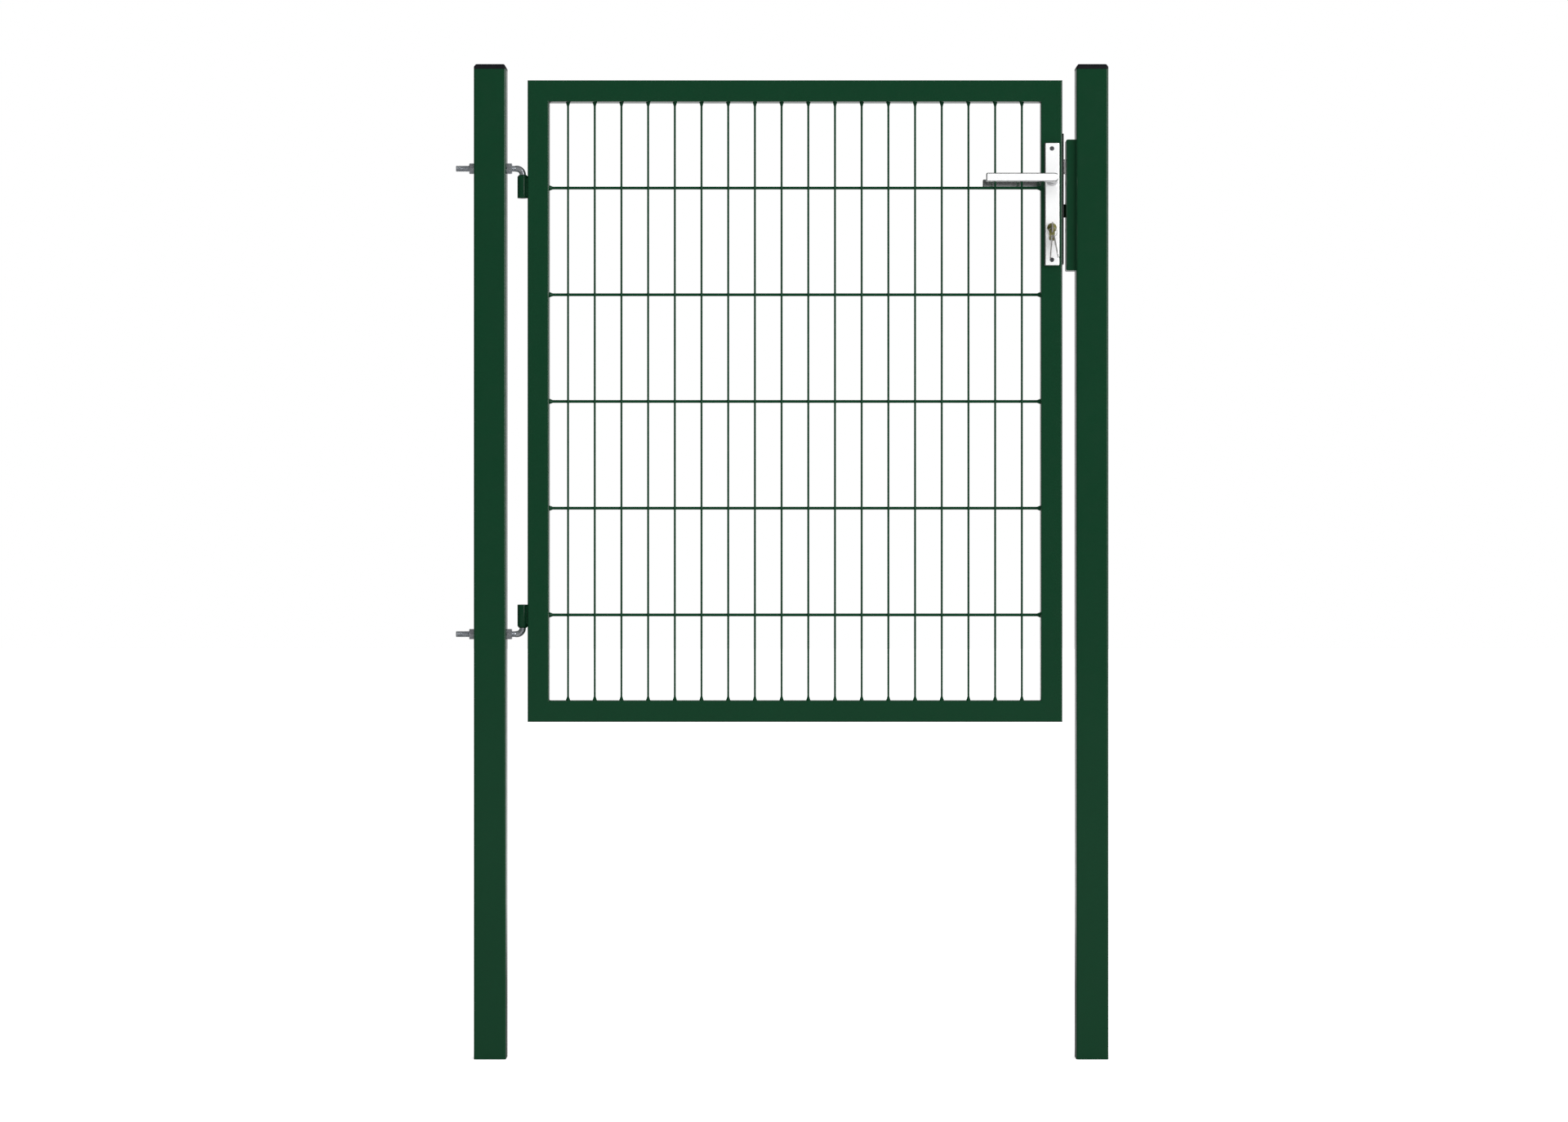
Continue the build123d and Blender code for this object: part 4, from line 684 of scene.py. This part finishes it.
def door_plate(name, screws, side):
    """Plate with edges rolled off as a quarter ellipse, bored for bearing, cylinder and screws.

    At angle a of the roll the outline is drawn in by roll (1 - cos a) and lies ROLL_DEPTH
    (1 - sin a) behind the face. side is -1 for the front plate and 1 for the rear one.
    """
    low, high = box(name)
    middle, half = (low + high) / 2, (high - low) / 2
    face, back = (low[1], high[1]) if side < 0 else (high[1], low[1])
    body_low, body_high = box("cylinder_body")
    round_r = (body_high[0] - body_low[0]) / 2
    screw_low, screw_high = box(screws)
    bush_low, bush_high = box("handle_bushes")
    circle = np.linspace(0, tau, HOLE_STEPS, endpoint=False)
    ring = np.stack([np.cos(circle), np.sin(circle)], axis=-1)
    foot = body_high[2] - body_low[2] - round_r - LEG_RADIUS
    cylinder = keyhole(round_r + CYLINDER_PLAY, LEG_RADIUS + CYLINDER_PLAY, foot)
    head_middle = HEAD_HOLE - HEAD_PLAY
    bearing = BEARING_HOLE * ring
    sunk = [(HEAD_HOLE * ring, 0.0), (SHANK_HOLE * ring, 0.2), (SHANK_HOLE * ring, 1.0)]
    holes = [
        ((bush_low[2] + bush_high[2]) / 2, [(bearing, 0.0), (bearing, 1.0)]),
        (body_high[2] - round_r, [(cylinder, 0.0), (cylinder, 1.0)]),
        (screw_low[2] + head_middle, sunk),
        (screw_high[2] - head_middle, sunk)]
    made = Piece()
    roll = np.linspace(0, pi / 2, 8)
    drawn = np.concatenate([[0.0], 1 - np.cos(roll), [1.05]])
    depth = np.concatenate([[back], face - side * ROLL_DEPTH * (1 - np.sin(roll)), [face]])
    outline = np.array([
        rounded_square(half[0] - ROLL_SIDE * share, half[2] - ROLL_END * share, PLATE_CORNER)
        for share in drawn])
    outer = made.grid(placed(outline, depth, middle), flip=side > 0)
    front, rear = [outer[-1]], [outer[0]]
    for z, rows in holes:
        outline = np.array([points for points, _ in rows])
        depth = np.array([face + (back - face) * share for _, share in rows])
        bore = made.grid(placed(outline, depth, (middle[0], 0, z)), flip=side > 0)
        front.append(bore[0])
        rear.append(bore[-1])
    made.fill(front, (0, 2), -side)
    made.fill(rear, (0, 2), side)
    made.object(name + "_rolled", "gate_leaf", "plate_aluminium", [name], 32)


door_plate("front_plate", "plate_screws", -1)
door_plate("rear_plate", "plate_sleeve_nuts", 1)


def split_ring():
    """Split ring of two flat turns side by side, with one step across between them.

    The wire's middle lies across at half its thickness times tanh(4 (turn - tau)), and its section
    is an oval.
    """
    low, high = box("key_ring")
    middle, thick = (low + high) / 2, (high[1] - low[1]) / 2
    turn = np.linspace(0, 2 * tau, RING_STEPS)[:, None]
    around = np.arange(RING_SIDES)[None, :] * tau / RING_SIDES
    radius = (high[0] - low[0]) / 2 - thick + 0.8 * thick * np.cos(around)
    y = middle[1] + 0.5 * thick * np.tanh(4 * (turn - tau)) + 0.46 * thick * np.sin(around)
    x = middle[0] + radius * np.cos(turn - RING_START)
    z = middle[2] + radius * np.sin(turn - RING_START)
    made = Piece()
    made.grid(np.stack([x, y, z], axis=-1), caps=True)
    made.object("key_ring_split", "ring_keys", "key_nickel", ["key_ring"], 40)


split_ring()


# ---------------------------------------------------------------- light, floor and camera

def area_light(name, place, target, width, height, power, mirrored=True, lighting=True):
    """Soft box that the camera doesn't see.

    mirrored says whether glossy surfaces show it, and lighting whether it lights matt ones.
    """
    data = bpy.data.lights.new(name, "AREA")
    data.shape = "RECTANGLE"
    data.size, data.size_y = width, height
    data.energy = power
    lamp = bpy.data.objects.new(name, data)
    bpy.context.scene.collection.objects.link(lamp)
    lamp.location = place
    aim = Vector(target) - Vector(place)
    lamp.rotation_euler = aim.to_track_quat("-Z", "Y").to_euler()
    lamp.visible_camera = False
    lamp.visible_glossy = mirrored
    lamp.visible_diffuse = lighting


area_light("key_right", (9.0, -10.4, 4.6), (0, 0, 1.0), 8.0, 7.0, 700)
area_light("front_fill", (0.5, -12.0, 7.0), (0, 0, 1.0), 5.0, 5.0, 240, mirrored=False)
area_light("gleam_right", (12.7, -4.9, 1.6), (0, 0, 1.0), 5.3, 4.5, 400, lighting=False)


def studio():
    """White to the camera. Light comes from a soft room, a little darker on the left.

    In reflections the room is pale behind the gate and on its right, darker above, and dark in front
    and straight to the right.
    """
    world = bpy.data.worlds.new("studio")
    bpy.context.scene.world = world
    room = Finish(world)
    direction = room.node("ShaderNodeTexCoord", {}, {}, "Generated")
    x, y, z = (room.along(direction, axis) for axis in "XYZ")
    behind = y.between(0.6, 0.95, 0.0, 0.42)
    right = x.between(0.2, 0.7, 0.0, 0.55) - x.between(0.86, 0.97, 0.0, 0.45)
    above = z.between(0.25, 0.8, 1.0, 0.4)
    mirrored = (0.05 + behind + right) * above + z.between(0.4, 0.9, 0.0, 0.10)
    soft = x.between(-0.8, 0.1, 0.55, 0.83)
    glossy = room.ray("Is Glossy Ray")
    light = glossy * mirrored + (1 - glossy) * soft
    seen = room.ray("Is Camera Ray") + room.ray("Is Transmission Ray")
    strength = seen + (1 - seen) * light
    room.put(room.tree.nodes["Background"], "Color", (1.0, 1.0, 1.0, 1.0))
    room.put(room.tree.nodes["Background"], "Strength", strength)


def white_floor():
    """Matt white floor. A glow for the camera takes it to white and leaves a faint shadow.

    Reflections find it white well behind the gate and dark under and before it.
    """
    paper = Surface("white_floor", specular=0.1)
    near = paper.along(paper.place, "Y").between(1.5, 4.0, 1.0, 0.0)
    paper.colour(near * paper.ray("Is Glossy Ray"), (0.84, 0.84, 0.84), (0.22, 0.22, 0.22))
    paper.rough(paper.noise(2.0).between(0.0, 1.0, 0.85, 0.95))
    glow = (paper.ray("Is Camera Ray") + paper.ray("Is Transmission Ray")) * 0.6
    light = paper.node("ShaderNodeEmission", {}, {"Strength": glow})
    both = paper.node("ShaderNodeAddShader", {}, {0: Value(paper, paper.shader.outputs[0]), 1: light})
    paper.put(paper.tree.nodes["Material Output"], "Surface", both)
    mesh = bpy.data.meshes.new("floor")
    reach = 40.0
    corners = [(-reach, -reach, 0), (reach, -reach, 0), (reach, reach, 0), (-reach, reach, 0)]
    mesh.from_pydata(corners, [], [(0, 1, 2, 3)])
    mesh.materials.append(paper.owner)
    floor = bpy.data.objects.new("floor", mesh)
    bpy.context.scene.collection.objects.link(floor)


studio()
white_floor()

FIELD_WIDTH, DISTANCE, SENSOR = 2.938, 8.6, 36.0
CENTRE_X, CENTRE_Z = 0.00425, 0.931
camera_data = bpy.data.cameras.new("camera")
camera_data.sensor_width = SENSOR
camera_data.lens = SENSOR * DISTANCE / FIELD_WIDTH
camera_data.clip_end = 100.0
camera = bpy.data.objects.new("camera", camera_data)
bpy.context.scene.collection.objects.link(camera)
camera.location = (CENTRE_X, -DISTANCE, CENTRE_Z)
camera.rotation_euler = (pi / 2, 0, 0)
bpy.context.scene.camera = camera
bpy.context.scene.view_settings.view_transform = "Standard"
